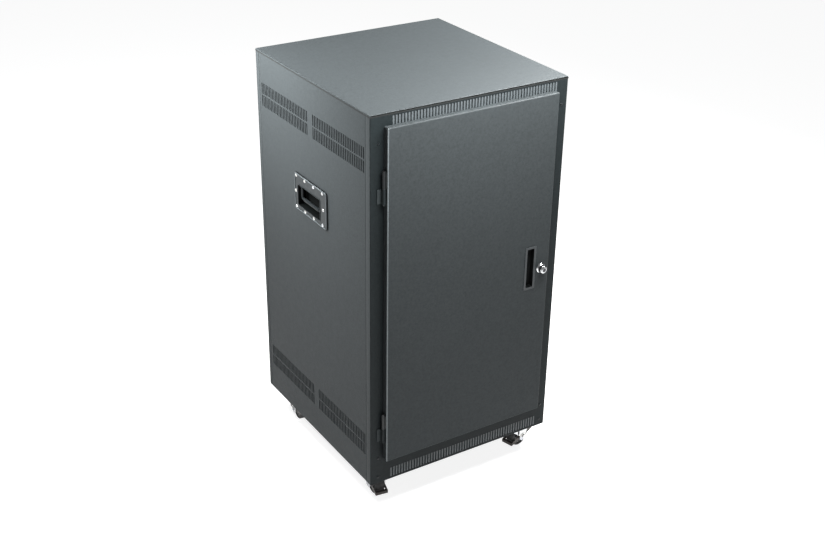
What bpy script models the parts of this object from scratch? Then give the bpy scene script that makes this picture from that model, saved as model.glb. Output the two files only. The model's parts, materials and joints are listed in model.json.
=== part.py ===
"""Network rack cabinet, 20 rack units high, on four swivel casters.

A folded front frame and rear frame are joined by a base pan, a lid and two side panels.
Four punched 19 inch rails stand inside on four depth bars. A tray-shaped steel door
swings on two pin hinges and carries a flush pull and a quarter-turn cam lock. Each side
panel has a riveted dish with a drop grip, and each caster swivels, rolls and has a
foot brake.

The frame: X to the right, Y to the back, Z up, the door facing -Y. The origin is on the
floor under the middle of the cabinet. Lengths are in metres.
"""
import math

import bmesh
import bpy
from mathutils import Matrix, Vector

# Driving dimensions
BODY_W = 0.560
BODY_D = 0.578
BODY_H = 1.011
CASTER_H = 0.090
SHEET = 0.0015
GAP = 0.0003
BEND = 0.002

# Door and its opening
DOOR_W = 0.486
DOOR_Z0 = 0.072
DOOR_Z1 = 0.980
DOOR_PROUD = 0.018
DOOR_SHADOW = 0.0008
DOOR_BEND = 0.003
OPENING_W = 0.483
OPENING_Z0 = 0.075
OPENING_Z1 = 0.968

# Vent slots above and below the door
SLOT_COUNT = 55
SLOT_PITCH = 0.0084
SLOT_W = 0.0042
SLOT_H = 0.027
SLOT_FIRST_X = -0.216
SLOT_ROWS_Z = (0.008, 0.9745)

# 19 inch rails: three square holes in each rack unit
RACK_UNITS = 20
UNIT = 0.04445
HOLE_OFFSETS = (0.00635, 0.022225, 0.0381)
HOLE_SIDE = 0.0095
HOLE_COLUMN_X = 0.23256
RAIL_INNER_X = 0.2255
RAIL_OUTER_X = 0.247
RAIL_DEPTH = 0.032
RAIL_SHEET = 0.002
RAIL_MARGIN = 0.001
FRONT_RAIL_SETBACK = 0.045
REAR_RAIL_SETBACK = 0.060

# Lid, frames, side panels and depth bars
LID_RIM = 0.0035
LID_SEAM = 0.0008
LID_SHEET = 0.0012
LID_BEND = 0.0016
FRAME_RETURN = 0.019
REAR_RETURN = 0.015
REAR_BORDER = 0.034
PANEL_RETURN = 0.010
PANEL_SEAM = 0.0006
PAN_HEIGHT = 0.003
PAN_SHEET = 0.0018
PAN_BEND = 0.0025
CABLE_SLOT = (0.300, 0.060)
CABLE_SLOT_FROM_REAR = 0.140
CABLE_SLOT_CORNER_R = 0.010
BAR_HEIGHT = 0.025
BAR_LIFTS = (0.085, 0.930)
BAR_FRONT_SETBACK = 0.024
BAR_REAR_SETBACK = 0.020

# Stiffening channel inside the door, measured up from the body's underside
STIFFENER_W = 0.060
STIFFENER_DEPTH = 0.011
STIFFENER_SHEET = 0.0012
STIFFENER_Z = (0.150, 0.902)

# Hinges, measured up from the body's underside
HINGE_X = -0.248
HINGE_STANDOFF = 0.009
HINGE_R = 0.0045
HINGE_PIN_R = 0.002
HINGE_SPANS = (("lower", 0.130, 0.212), ("upper", 0.791, 0.874))
HINGE_SPLIT = 0.040
HINGE_FOOT_W = 0.014
HINGE_FOOT_T = 0.002
HINGE_WEB_HALF_T = 0.0012
HINGE_LEAF_INSET = 0.002
HINGE_LEAF_HALF_W = 0.006
HINGE_PIN_HEAD_R = 0.0036

# Flush pull and lock
PULL_X = (0.166, 0.200)
PULL_Z = (0.458, 0.580)
PULL_RIM = 0.0065
PULL_RIM_T = 0.0012
PULL_DEPTH = 0.0125
PULL_CORNER_R = 0.004
PULL_CLEARANCE = 0.0007
LOCK_X = 0.217
LOCK_Z = 0.512
LOCK_REACH = 0.018
LOCK_FLANGE_R = 0.0135
LOCK_BARREL_R = 0.0100
LOCK_BARREL_PROUD = 0.0160
LOCK_NECK_R = 0.0090
LOCK_NECK_REACH = 0.0130
LOCK_NUT_R = 0.0130
LOCK_NUT_T = 0.004
PLUG_R = 0.0060
PLUG_HEAD_R = 0.0080
PLUG_TAIL_R = 0.0045
KEYWAY_HALF_W = 0.0006
KEYWAY_HALF_H = 0.0042
KEYWAY_DEPTH = 0.010
CAM_LENGTH = 0.034
CAM_HALF_W = 0.007
CAM_Y = 0.0035
CAM_T = 0.002
CAM_CORNER = 0.003
SCREW_HEAD_R = 0.0058
SCREW_SHANK_R = 0.0015
SCREW_HOLE_R = 0.0018
SCREW_REACH = 0.004

# Side handles, measured from the body's front face and underside
HANDLE_Y = (0.205, 0.372)
HANDLE_Z = (0.646, 0.745)
HANDLE_T = 0.0027
DISH_Y = (0.239, 0.354)
DISH_Z = (0.660, 0.716)
DISH_DEPTH = 0.0205
GRIP_R = 0.0035
GRIP_DROP = 0.030
GRIP_INSET = 0.006
GRIP_PIVOT_BELOW_TOP = 0.008
GRIP_BEND = 0.008
GRIP_END_BEND = 0.004
GRIP_END_INSET = 0.006
GRIP_TENON = 0.0012

# Casters
CASTER_MARGIN = 0.060
CASTER_TRAIL = 0.020
WHEEL_R = 0.033
WHEEL_W = 0.026
WHEEL_FACETS = 24
HUB_FACETS = 16
SEAT_R = 0.024
PLATE_SIDE = 0.064
PLATE_T = 0.0025
RACE_R = 0.022
RACE_T = 0.0055
KINGPIN_R = 0.005
CROWN_TOP = 0.0085
CROWN_T = 0.0040
FORK_HALF_W = 0.023
FORK_LEG_T = 0.0025
AXLE_R = 0.004
FORK_FRONT = -0.024
FORK_BACK = 0.044
FORK_EAR_R = 0.013
FORK_CORNER = 0.006
AXLE_BOLT_PROUD = 0.0035
PEDAL_ARM_X = (0.0158, 0.0178)
PEDAL_REAR = 0.066
PEDAL_TOE = -0.023
PEDAL_END_T = 0.006
CASTERS = (
    ("front_left", -1, -1, -8.0),
    ("front_right", 1, -1, -75.0),
    ("rear_left", -1, 1, 172.0),
    ("rear_right", 1, 1, 150.0),
)

# Places worked out from the driving dimensions
FRONT_Y = (DOOR_PROUD + LOCK_REACH - BODY_D) / 2
REAR_Y = FRONT_Y + BODY_D
FLOOR_Z = CASTER_H
LID_Z = FLOOR_Z + BODY_H
BODY_TOP_Z = LID_Z - LID_RIM - LID_SEAM
HALF_W = BODY_W / 2
DOOR_FACE_Y = FRONT_Y - DOOR_PROUD
DOOR_BACK_Y = FRONT_Y - DOOR_SHADOW
HINGE_Y = FRONT_Y - HINGE_STANDOFF
RAIL_HEIGHT = RACK_UNITS * UNIT + 2 * RAIL_MARGIN
RAIL_Z = FLOOR_Z + (OPENING_Z0 + OPENING_Z1 - RAIL_HEIGHT) / 2

# Finishes: base colour, roughness, metallic
FINISHES = {
    "powder_black": ((0.060, 0.066, 0.068), 0.55, 0.0),
    "powder_inner": ((0.035, 0.038, 0.040), 0.60, 0.0),
    "moulded_black": ((0.020, 0.020, 0.021), 0.45, 0.0),
    "zinc": ((0.62, 0.63, 0.64), 0.35, 1.0),
    "chrome": ((0.80, 0.80, 0.81), 0.12, 1.0),
    "rubber_black": ((0.015, 0.015, 0.015), 0.75, 0.0),
    "hub_grey": ((0.10, 0.10, 0.10), 0.50, 0.0),
    "pedal_black": ((0.030, 0.026, 0.024), 0.45, 0.0),
}


def clear_scene():
    for old in list(bpy.data.objects):
        bpy.data.objects.remove(old, do_unlink=True)


def finish(name):
    """The shared Principled material called name."""
    found = bpy.data.materials.get(name)
    if found:
        return found
    colour, roughness, metallic = FINISHES[name]
    made = bpy.data.materials.new(name)
    made.use_nodes = True
    shader = made.node_tree.nodes["Principled BSDF"]
    shader.inputs["Base Color"].default_value = (*colour, 1.0)
    shader.inputs["Roughness"].default_value = roughness
    shader.inputs["Metallic"].default_value = metallic
    made.diffuse_color = (*colour, 1.0)
    return made


def add(name, bm, material=None, parent=None, smooth=False):
    """Link a mesh object made from bm. Without a material it is a hidden cutter."""
    bmesh.ops.recalc_face_normals(bm, faces=bm.faces)
    mesh = bpy.data.meshes.new(name)
    bm.to_mesh(mesh)
    bm.free()
    made = bpy.data.objects.new(name, mesh)
    bpy.context.scene.collection.objects.link(made)
    made.parent = parent
    if material:
        mesh.materials.append(finish(material))
    else:
        made.hide_render = True
        made.display_type = "WIRE"
    if smooth:
        mesh.shade_smooth()
        mesh.set_sharp_from_angle(angle=math.radians(35))
    return made


def box_into(bm, lo, hi):
    """Add one closed box to bm and return its vertices."""
    size = Vector(hi) - Vector(lo)
    middle = (Vector(hi) + Vector(lo)) / 2
    place = Matrix.Translation(middle) @ Matrix.Diagonal((*size, 1.0))
    return bmesh.ops.create_cube(bm, size=1.0, matrix=place)["verts"]


def box(lo, hi):
    bm = bmesh.new()
    box_into(bm, lo, hi)
    return bm


def boxes(pairs):
    bm = bmesh.new()
    for lo, hi in pairs:
        box_into(bm, lo, hi)
    return bm


def prism(outline, axis, start, end):
    """Extrude a closed outline along X, Y or Z. Its points name the other two, in order."""
    bm = bmesh.new()
    spots = []
    for point in outline:
        spot = list(point)
        spot.insert("XYZ".index(axis), start)
        spots.append(bm.verts.new(spot))
    cap = bm.faces.new(spots)
    pushed = bmesh.ops.extrude_face_region(bm, geom=[cap])["geom"]
    move = [0.0, 0.0, 0.0]
    move["XYZ".index(axis)] = end - start
    tips = [piece for piece in pushed if isinstance(piece, bmesh.types.BMVert)]
    bmesh.ops.translate(bm, verts=tips, vec=move)
    return bm


def rounded(lo, hi, radius, steps=4):
    """A rectangle's outline with round corners, in two coordinates."""
    centres = (
        (hi[0] - radius, hi[1] - radius),
        (lo[0] + radius, hi[1] - radius),
        (lo[0] + radius, lo[1] + radius),
        (hi[0] - radius, lo[1] + radius),
    )
    points = []
    for quarter, (across, up) in enumerate(centres):
        for step in range(steps + 1):
            angle = math.pi / 2 * (quarter + step / steps)
            points.append((across + radius * math.cos(angle), up + radius * math.sin(angle)))
    return points


def turned(profile, axis, centre, facets=16, ring=False):
    """Turn (radius, distance) points about an axis through centre.

    A ring joins its last point to its first. Otherwise both ends are closed by flat caps.
    """
    bm = bmesh.new()
    to_axis = {
        "X": Matrix.Rotation(math.pi / 2, 4, "Y"),
        "Y": Matrix.Rotation(-math.pi / 2, 4, "X"),
        "Z": Matrix.Identity(4),
    }[axis]
    loops = []
    for radius, along in profile:
        loop = []
        for step in range(facets):
            angle = 2 * math.pi * (step + 0.5) / facets
            spot = Vector((radius * math.cos(angle), radius * math.sin(angle), along))
            loop.append(bm.verts.new(to_axis @ spot + Vector(centre)))
        loops.append(loop)
    pairs = list(zip(loops, loops[1:]))
    if ring:
        pairs.append((loops[-1], loops[0]))
    for low, high in pairs:
        for step in range(facets):
            after = (step + 1) % facets
            bm.faces.new((low[step], low[after], high[after], high[step]))
    if not ring:
        bm.faces.new(loops[0])
        bm.faces.new(loops[-1])
    return bm


def rod(radius, axis, centre, start, end, facets=16):
    """A plain round bar between two distances along an axis."""
    return turned(((radius, start), (radius, end)), axis, centre, facets)


def combine(target, other, operation="DIFFERENCE"):
    """Cut other out of target, or join it on. The other object is only a guide."""
    step = target.modifiers.new(operation.lower(), "BOOLEAN")
    step.operation = operation
    step.solver = "EXACT"
    step.object = other
    return target


def cut(target, bm, parent=None):
    return combine(target, add("cut_" + target.name, bm, parent=parent))


def weld(target, bm, parent=None):
    return combine(target, add("weld_" + target.name, bm, parent=parent), "UNION")


def tray(name, lo, hi, open_side, material, sheet=SHEET, bend=BEND):
    """A folded sheet tray: a box without its open side, such as '+Y'."""
    bm = box(lo, hi)
    axis = "XYZ".index(open_side[1])
    sign = 1 if open_side[0] == "+" else -1
    bm.normal_update()
    gone = [face for face in bm.faces if face.normal[axis] * sign > 0.9]
    bmesh.ops.delete(bm, geom=gone, context="FACES")
    folds = [edge for edge in bm.edges if not edge.is_boundary]
    bmesh.ops.bevel(bm, geom=folds, offset=bend, segments=2, affect="EDGES", profile=0.5)
    made = add(name, bm, material, smooth=True)
    skin = made.modifiers.new("sheet", "SOLIDIFY")
    skin.thickness = sheet
    skin.offset = -1.0
    skin.use_even_offset = True
    return made


def above_floor(height):
    """A height measured up from the body's underside, as a place on Z."""
    return FLOOR_Z + height


def behind_front(depth):
    """A depth measured back from the body's front face, as a place on Y."""
    return FRONT_Y + depth


def front_frame():
    lo = (-HALF_W, FRONT_Y, FLOOR_Z)
    hi = (HALF_W, behind_front(FRAME_RETURN), BODY_TOP_Z)
    frame = tray("front_frame", lo, hi, "+Y", "powder_black")
    front, back = FRONT_Y - SHEET, FRONT_Y + 2 * SHEET
    holes = [
        (
            (-OPENING_W / 2, front, above_floor(OPENING_Z0)),
            (OPENING_W / 2, back, above_floor(OPENING_Z1)),
        )
    ]
    for row in SLOT_ROWS_Z:
        for number in range(SLOT_COUNT):
            left = SLOT_FIRST_X + number * SLOT_PITCH
            low = above_floor(row)
            holes.append(((left, front, low), (left + SLOT_W, back, low + SLOT_H)))
    cut(frame, boxes(holes))


def rear_frame_and_panel():
    lo = (-HALF_W, REAR_Y - REAR_RETURN, FLOOR_Z)
    hi = (HALF_W, REAR_Y, BODY_TOP_Z)
    frame = tray("rear_frame", lo, hi, "-Y", "powder_black")
    side, low, high = HALF_W - REAR_BORDER, FLOOR_Z + REAR_BORDER, BODY_TOP_Z - REAR_BORDER
    cut(frame, box((-side, REAR_Y - 2 * SHEET, low), (side, REAR_Y + SHEET, high)))
    seam = PANEL_SEAM
    panel_lo = (-side + seam, REAR_Y - PANEL_RETURN, low + seam)
    panel_hi = (side - seam, REAR_Y, high - seam)
    tray("rear_panel", panel_lo, panel_hi, "-Y", "powder_black")


def base_pan():
    side = HALF_W - PANEL_RETURN - PANEL_SEAM
    front = behind_front(FRAME_RETURN) + PANEL_SEAM
    back = REAR_Y - REAR_RETURN - PANEL_SEAM
    lo, hi = (-side, front, FLOOR_Z), (side, back, FLOOR_Z + PAN_HEIGHT)
    pan = tray("base_pan", lo, hi, "+Z", "powder_inner", sheet=PAN_SHEET, bend=PAN_BEND)
    half, depth = CABLE_SLOT[0] / 2, CABLE_SLOT[1]
    slot_y = REAR_Y - CABLE_SLOT_FROM_REAR
    outline = rounded((-half, slot_y), (half, slot_y + depth), CABLE_SLOT_CORNER_R)
    cut(pan, prism(outline, "Z", FLOOR_Z - PAN_HEIGHT, FLOOR_Z + PAN_HEIGHT))


def top_panel():
    lo = (-HALF_W, FRONT_Y, LID_Z - LID_RIM)
    hi = (HALF_W, REAR_Y, LID_Z)
    tray("top_panel", lo, hi, "-Z", "powder_black", sheet=LID_SHEET, bend=LID_BEND)


def side_panel(side_name, side):
    """One side panel, with the window its handle dish passes through."""
    outer, inner = side * HALF_W, side * (HALF_W - PANEL_RETURN)
    front = behind_front(FRAME_RETURN) + PANEL_SEAM
    back = REAR_Y - REAR_RETURN - PANEL_SEAM
    lo = (min(outer, inner), front, FLOOR_Z)
    hi = (max(outer, inner), back, BODY_TOP_Z)
    opens = "-X" if side > 0 else "+X"
    panel = tray(side_name + "_side_panel", lo, hi, opens, "powder_black")
    room = SHEET + 0.001
    window = rounded(
        (behind_front(DISH_Y[0]) - room, above_floor(DISH_Z[0]) - room),
        (behind_front(DISH_Y[1]) + room, above_floor(DISH_Z[1]) + room),
        0.006,
    )
    cut(panel, prism(window, "X", outer - 0.005, outer + 0.005))


def depth_bar(side_name, side, level_name, lift):
    """A channel from front to back that a front rail and a rear rail are bolted to."""
    near, far = RAIL_OUTER_X + GAP, HALF_W - PANEL_RETURN - 2 * GAP
    x_pair = sorted((side * near, side * far))
    lo = (x_pair[0], behind_front(BAR_FRONT_SETBACK), above_floor(lift))
    hi = (x_pair[1], REAR_Y - BAR_REAR_SETBACK, above_floor(lift + BAR_HEIGHT))
    opens = "+X" if side > 0 else "-X"
    tray(f"{level_name}_{side_name}_depth_bar", lo, hi, opens, "powder_inner")


def rack_rail(place_name, side_name, side):
    """An angle rail with three square holes for each rack unit."""
    is_front = place_name == "front"
    face = behind_front(FRONT_RAIL_SETBACK) if is_front else REAR_Y - REAR_RAIL_SETBACK
    inward = 1 if is_front else -1
    outline = [
        (side * RAIL_INNER_X, face),
        (side * RAIL_OUTER_X, face),
        (side * RAIL_OUTER_X, face + inward * RAIL_DEPTH),
        (side * (RAIL_OUTER_X - RAIL_SHEET), face + inward * RAIL_DEPTH),
        (side * (RAIL_OUTER_X - RAIL_SHEET), face + inward * RAIL_SHEET),
        (side * RAIL_INNER_X, face + inward * RAIL_SHEET),
    ]
    name = f"{place_name}_{side_name}_rack_rail"
    rail = add(name, prism(outline, "Z", RAIL_Z, RAIL_Z + RAIL_HEIGHT), "powder_inner")
    half = HOLE_SIDE / 2
    column = side * HOLE_COLUMN_X
    holes = []
    for unit in range(RACK_UNITS):
        for offset in HOLE_OFFSETS:
            middle = RAIL_Z + RAIL_MARGIN + unit * UNIT + offset
            lo = (column - half, face - 2 * RAIL_SHEET, middle - half)
            hi = (column + half, face + 2 * RAIL_SHEET, middle + half)
            holes.append((lo, hi))
    cut(rail, boxes(holes))


def door_panel():
    lo = (-DOOR_W / 2, DOOR_FACE_Y, above_floor(DOOR_Z0))
    hi = (DOOR_W / 2, DOOR_BACK_Y, above_floor(DOOR_Z1))
    door = tray("door_panel", lo, hi, "+Y", "powder_black", bend=DOOR_BEND)
    rim = PULL_RIM - SHEET - PULL_CLEARANCE
    pull_lo = (PULL_X[0] + rim, above_floor(PULL_Z[0]) + rim)
    pull_hi = (PULL_X[1] - rim, above_floor(PULL_Z[1]) - rim)
    window = rounded(pull_lo, pull_hi, 0.0005, 1)
    cut(door, prism(window, "Y", DOOR_FACE_Y - 0.004, DOOR_FACE_Y + 0.004))
    centre = (LOCK_X, DOOR_FACE_Y, above_floor(LOCK_Z))
    cut(door, rod(LOCK_NECK_R + 0.0004, "Y", centre, -0.004, 0.004))


def door_stiffener():
    """A channel down the inside of the door skin."""
    inner_face = DOOR_FACE_Y + SHEET + GAP
    bottom, top = above_floor(STIFFENER_Z[0]), above_floor(STIFFENER_Z[1])
    lo = (-STIFFENER_W / 2, inner_face, bottom)
    hi = (STIFFENER_W / 2, inner_face + STIFFENER_DEPTH, top)
    tray("door_stiffener", lo, hi, "+Y", "powder_inner", sheet=STIFFENER_SHEET)


def hinge(level_name, low, high):
    """A pin hinge: the lower knuckle is on the frame, the upper one on the door."""
    bottom, top = above_floor(low), above_floor(high)
    split = bottom + HINGE_SPLIT
    axis = (HINGE_X, HINGE_Y, 0.0)
    web, inset = HINGE_WEB_HALF_T, HINGE_LEAF_INSET

    name = level_name + "_hinge_frame_leaf"
    frame_leaf = add(name, rod(HINGE_R, "Z", axis, bottom, split), "moulded_black", smooth=True)
    foot_face = FRONT_Y - GAP
    outline = [
        (HINGE_X - web, HINGE_Y),
        (HINGE_X + web, HINGE_Y),
        (HINGE_X + web, foot_face),
        (HINGE_X - HINGE_FOOT_W, foot_face),
        (HINGE_X - HINGE_FOOT_W, foot_face - HINGE_FOOT_T),
        (HINGE_X - web, foot_face - HINGE_FOOT_T),
    ]
    weld(frame_leaf, prism(outline, "Z", bottom + inset, split - inset))
    cut(frame_leaf, rod(HINGE_PIN_R + GAP, "Z", axis, bottom - 0.005, split + 0.005))

    name = level_name + "_hinge_door_leaf"
    door_leaf = add(name, rod(HINGE_R, "Z", axis, split + GAP, top), "moulded_black", smooth=True)
    wall = -DOOR_W / 2 - GAP
    lo = (wall - HINGE_FOOT_T, HINGE_Y - HINGE_LEAF_HALF_W, split + inset)
    hi = (wall, HINGE_Y + HINGE_LEAF_HALF_W, top - inset)
    weld(door_leaf, box(lo, hi))
    cut(door_leaf, rod(HINGE_PIN_R + GAP, "Z", axis, split - 0.005, top + 0.005))

    profile = (
        (HINGE_PIN_R, bottom - inset),
        (HINGE_PIN_R, top + GAP),
        (HINGE_PIN_HEAD_R, top + GAP),
        (HINGE_PIN_HEAD_R, top + 0.0015),
        (HINGE_PIN_HEAD_R * 0.6, top + 0.0028),
    )
    pin = turned(profile, "Z", axis)
    add(level_name + "_hinge_pin", pin, "zinc", smooth=True)


def flush_pull():
    """A recessed cup with a rim that rests on the door skin."""
    face = DOOR_FACE_Y - GAP
    low, high = above_floor(PULL_Z[0]), above_floor(PULL_Z[1])
    rim = rounded((PULL_X[0], low), (PULL_X[1], high), PULL_CORNER_R)
    pull = add("flush_pull", prism(rim, "Y", face - PULL_RIM_T, face), "moulded_black")
    wall = PULL_RIM - SHEET
    lo = (PULL_X[0] + wall, face - PULL_RIM_T / 2, low + wall)
    hi = (PULL_X[1] - wall, face + PULL_DEPTH + SHEET, high - wall)
    weld(pull, box(lo, hi))
    lo = (PULL_X[0] + PULL_RIM, face - 0.005, low + PULL_RIM)
    hi = (PULL_X[1] - PULL_RIM, face + PULL_DEPTH, high - PULL_RIM)
    cut(pull, box(lo, hi))


def lock():
    """A quarter-turn cam lock: body and nut on the door, plug, cam and screw turning."""
    centre = (LOCK_X, DOOR_FACE_Y, above_floor(LOCK_Z))
    bore = PLUG_R + GAP
    body = (
        (bore, -LOCK_BARREL_PROUD),
        (LOCK_BARREL_R - 0.0012, -LOCK_BARREL_PROUD),
        (LOCK_BARREL_R, -LOCK_BARREL_PROUD + 0.0012),
        (LOCK_BARREL_R, -0.0040),
        (LOCK_FLANGE_R - 0.0010, -0.0034),
        (LOCK_FLANGE_R, -0.0024),
        (LOCK_FLANGE_R, -GAP),
        (LOCK_NECK_R, -GAP),
        (LOCK_NECK_R, LOCK_NECK_REACH),
        (bore, LOCK_NECK_REACH),
    )
    add("lock_body", turned(body, "Y", centre, 20, ring=True), "chrome", smooth=True)

    inner_face = SHEET + GAP
    nut_blank = rod(LOCK_NUT_R, "Y", centre, inner_face, inner_face + LOCK_NUT_T, 6)
    nut = add("lock_nut", nut_blank, "zinc")
    cut(nut, rod(LOCK_NECK_R + 2 * GAP, "Y", centre, 0.0, 2 * LOCK_NUT_T))

    cam_front = DOOR_PROUD + CAM_Y
    plug = (
        (PLUG_HEAD_R - 0.0008, -LOCK_REACH),
        (PLUG_HEAD_R, -LOCK_REACH + 0.0008),
        (PLUG_HEAD_R, -LOCK_BARREL_PROUD - GAP),
        (PLUG_R, -LOCK_BARREL_PROUD - GAP),
        (PLUG_R, cam_front - GAP),
        (PLUG_TAIL_R, cam_front - GAP),
        (PLUG_TAIL_R, cam_front + CAM_T),
    )
    plug_made = add("lock_plug", turned(plug, "Y", centre), "chrome", smooth=True)
    plug_face = DOOR_FACE_Y - LOCK_REACH
    low, high = centre[2] - KEYWAY_HALF_H, centre[2] + KEYWAY_HALF_H
    keyway_lo = (LOCK_X - KEYWAY_HALF_W, plug_face - KEYWAY_DEPTH, low)
    keyway_hi = (LOCK_X + KEYWAY_HALF_W, plug_face + KEYWAY_DEPTH, high)
    cut(plug_made, box(keyway_lo, keyway_hi))
    hole_start, hole_end = cam_front - SCREW_REACH - CAM_T, cam_front + SCREW_REACH + CAM_T
    cut(plug_made, rod(SCREW_HOLE_R, "Y", centre, hole_start, hole_end, 12))

    arm_tip = centre[2] - CAM_LENGTH
    left, right = LOCK_X - CAM_HALF_W, LOCK_X + CAM_HALF_W
    outline = [(left, arm_tip + CAM_CORNER), (left + CAM_CORNER, arm_tip)]
    outline += [(right - CAM_CORNER, arm_tip), (right, arm_tip + CAM_CORNER)]
    for step in range(9):
        angle = math.pi * step / 8
        across = LOCK_X + CAM_HALF_W * math.cos(angle)
        outline.append((across, centre[2] + CAM_HALF_W * math.sin(angle)))
    cam_y = DOOR_FACE_Y + cam_front
    cam = add("lock_cam", prism(outline, "Y", cam_y, cam_y + CAM_T), "zinc")
    cut(cam, rod(PLUG_TAIL_R + GAP, "Y", centre, cam_front - CAM_T, cam_front + 2 * CAM_T))

    cam_back = cam_front + CAM_T
    screw = (
        (SCREW_SHANK_R, cam_front - SCREW_REACH),
        (SCREW_SHANK_R, cam_back + GAP),
        (SCREW_HEAD_R, cam_back + GAP),
        (SCREW_HEAD_R, cam_back + 0.0015),
        (SCREW_HEAD_R * 0.6, cam_back + 0.0028),
    )
    add("cam_screw", turned(screw, "Y", centre), "zinc", smooth=True)


def handle_dish(side_name, side):
    """A riveted plate with a bowl sunk into the cabinet's side."""
    skin = side * (HALF_W + GAP)
    face = side * (HALF_W + GAP + HANDLE_T)
    bottom = side * (HALF_W - DISH_DEPTH)
    y_pair = (behind_front(HANDLE_Y[0]), behind_front(HANDLE_Y[1]))
    z_pair = (above_floor(HANDLE_Z[0]), above_floor(HANDLE_Z[1]))
    outline = rounded((y_pair[0], z_pair[0]), (y_pair[1], z_pair[1]), 0.008)
    dish = add(side_name + "_handle_dish", prism(outline, "X", skin, face), "moulded_black")
    lo = (behind_front(DISH_Y[0]), above_floor(DISH_Z[0]))
    hi = (behind_front(DISH_Y[1]), above_floor(DISH_Z[1]))
    grown_lo = (lo[0] - SHEET, lo[1] - SHEET)
    grown_hi = (hi[0] + SHEET, hi[1] + SHEET)
    middle = (skin + face) / 2
    weld(dish, prism(rounded(grown_lo, grown_hi, 0.006), "X", middle, bottom - side * SHEET))
    cut(dish, prism(rounded(lo, hi, 0.005), "X", face + side * 0.005, bottom))
    pivot = (side * (HALF_W - GRIP_INSET), 0.0, hi[1] - GRIP_PIVOT_BELOW_TOP)
    cut(dish, rod(GRIP_R + 2 * GAP, "Y", pivot, lo[0] - 0.003, hi[0] + 0.003, 12))


def handle_grip(side_name, side):
    """A drop grip: a round bar bent into a U, with its ends in the dish's walls."""
    x = side * (HALF_W - GRIP_INSET)
    pivot_z = above_floor(DISH_Z[1]) - GRIP_PIVOT_BELOW_TOP
    low_z = pivot_z - GRIP_DROP
    near, far = behind_front(DISH_Y[0]), behind_front(DISH_Y[1])
    inset = GRIP_END_INSET
    corners = [
        (near - GRIP_TENON, pivot_z),
        (near + inset, pivot_z),
        (near + inset, low_z),
        (far - inset, low_z),
        (far - inset, pivot_z),
        (far + GRIP_TENON, pivot_z),
    ]
    radii = (0.0, GRIP_END_BEND, GRIP_BEND, GRIP_BEND, GRIP_END_BEND, 0.0)
    route = []
    for number, (spot, radius) in enumerate(zip(corners, radii)):
        here = Vector(spot)
        if radius == 0.0:
            route.append(here)
            continue
        before = (Vector(corners[number - 1]) - here).normalized()
        after = (Vector(corners[number + 1]) - here).normalized()
        start, end = here + before * radius, here + after * radius
        for step in range(5):
            share = step / 4
            route.append(start.lerp(here, share).lerp(here.lerp(end, share), share))
    curve = bpy.data.curves.new(side_name + "_handle_grip", "CURVE")
    curve.dimensions = "3D"
    curve.bevel_depth = GRIP_R
    curve.bevel_resolution = 2
    curve.use_fill_caps = True
    line = curve.splines.new("POLY")
    line.points.add(len(route) - 1)
    for point, (y, z) in zip(line.points, route):
        point.co = (x, y, z, 1.0)
    curve.materials.append(finish("moulded_black"))
    made = bpy.data.objects.new(side_name + "_handle_grip", curve)
    bpy.context.scene.collection.objects.link(made)


def caster(name, side, end, swivel_deg):
    """One braked swivel caster. Its own frame has the swivel axis on Z and trails to +Y."""
    mount = bpy.data.objects.new(name + "_caster", None)
    bpy.context.scene.collection.objects.link(mount)
    depth = CASTER_MARGIN if end < 0 else BODY_D - CASTER_MARGIN
    mount.location = (side * (HALF_W - CASTER_MARGIN), behind_front(depth), FLOOR_Z)
    swivel = bpy.data.objects.new(name + "_swivel", None)
    bpy.context.scene.collection.objects.link(swivel)
    swivel.parent = mount
    swivel.rotation_euler = (0.0, 0.0, math.radians(swivel_deg))
    caster_plate(name, mount)
    caster_fork(name, swivel)
    caster_wheel(name, swivel)
    brake_pedal(name, swivel)


def caster_plate(name, mount):
    """The bolted top plate with its ball race and kingpin, as one riveted unit."""
    half = PLATE_SIDE / 2
    outline = rounded((-half, -half), (half, half), 0.008)
    plate = add(name + "_caster_plate", prism(outline, "Z", -PLATE_T, -GAP), "zinc", mount)
    crown_low = CROWN_TOP + CROWN_T
    race = (
        (RACE_R, -PLATE_T / 2),
        (RACE_R, -PLATE_T - 0.003),
        (RACE_R - 0.003, -PLATE_T - RACE_T),
        (KINGPIN_R, -PLATE_T - RACE_T),
        (KINGPIN_R, -crown_low - 0.0008),
        (0.0085, -crown_low - 0.0008),
        (0.0085, -crown_low - 0.0024),
        (0.0050, -crown_low - 0.0040),
    )
    weld(plate, turned(race, "Z", (0.0, 0.0, 0.0), 12), mount)


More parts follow.
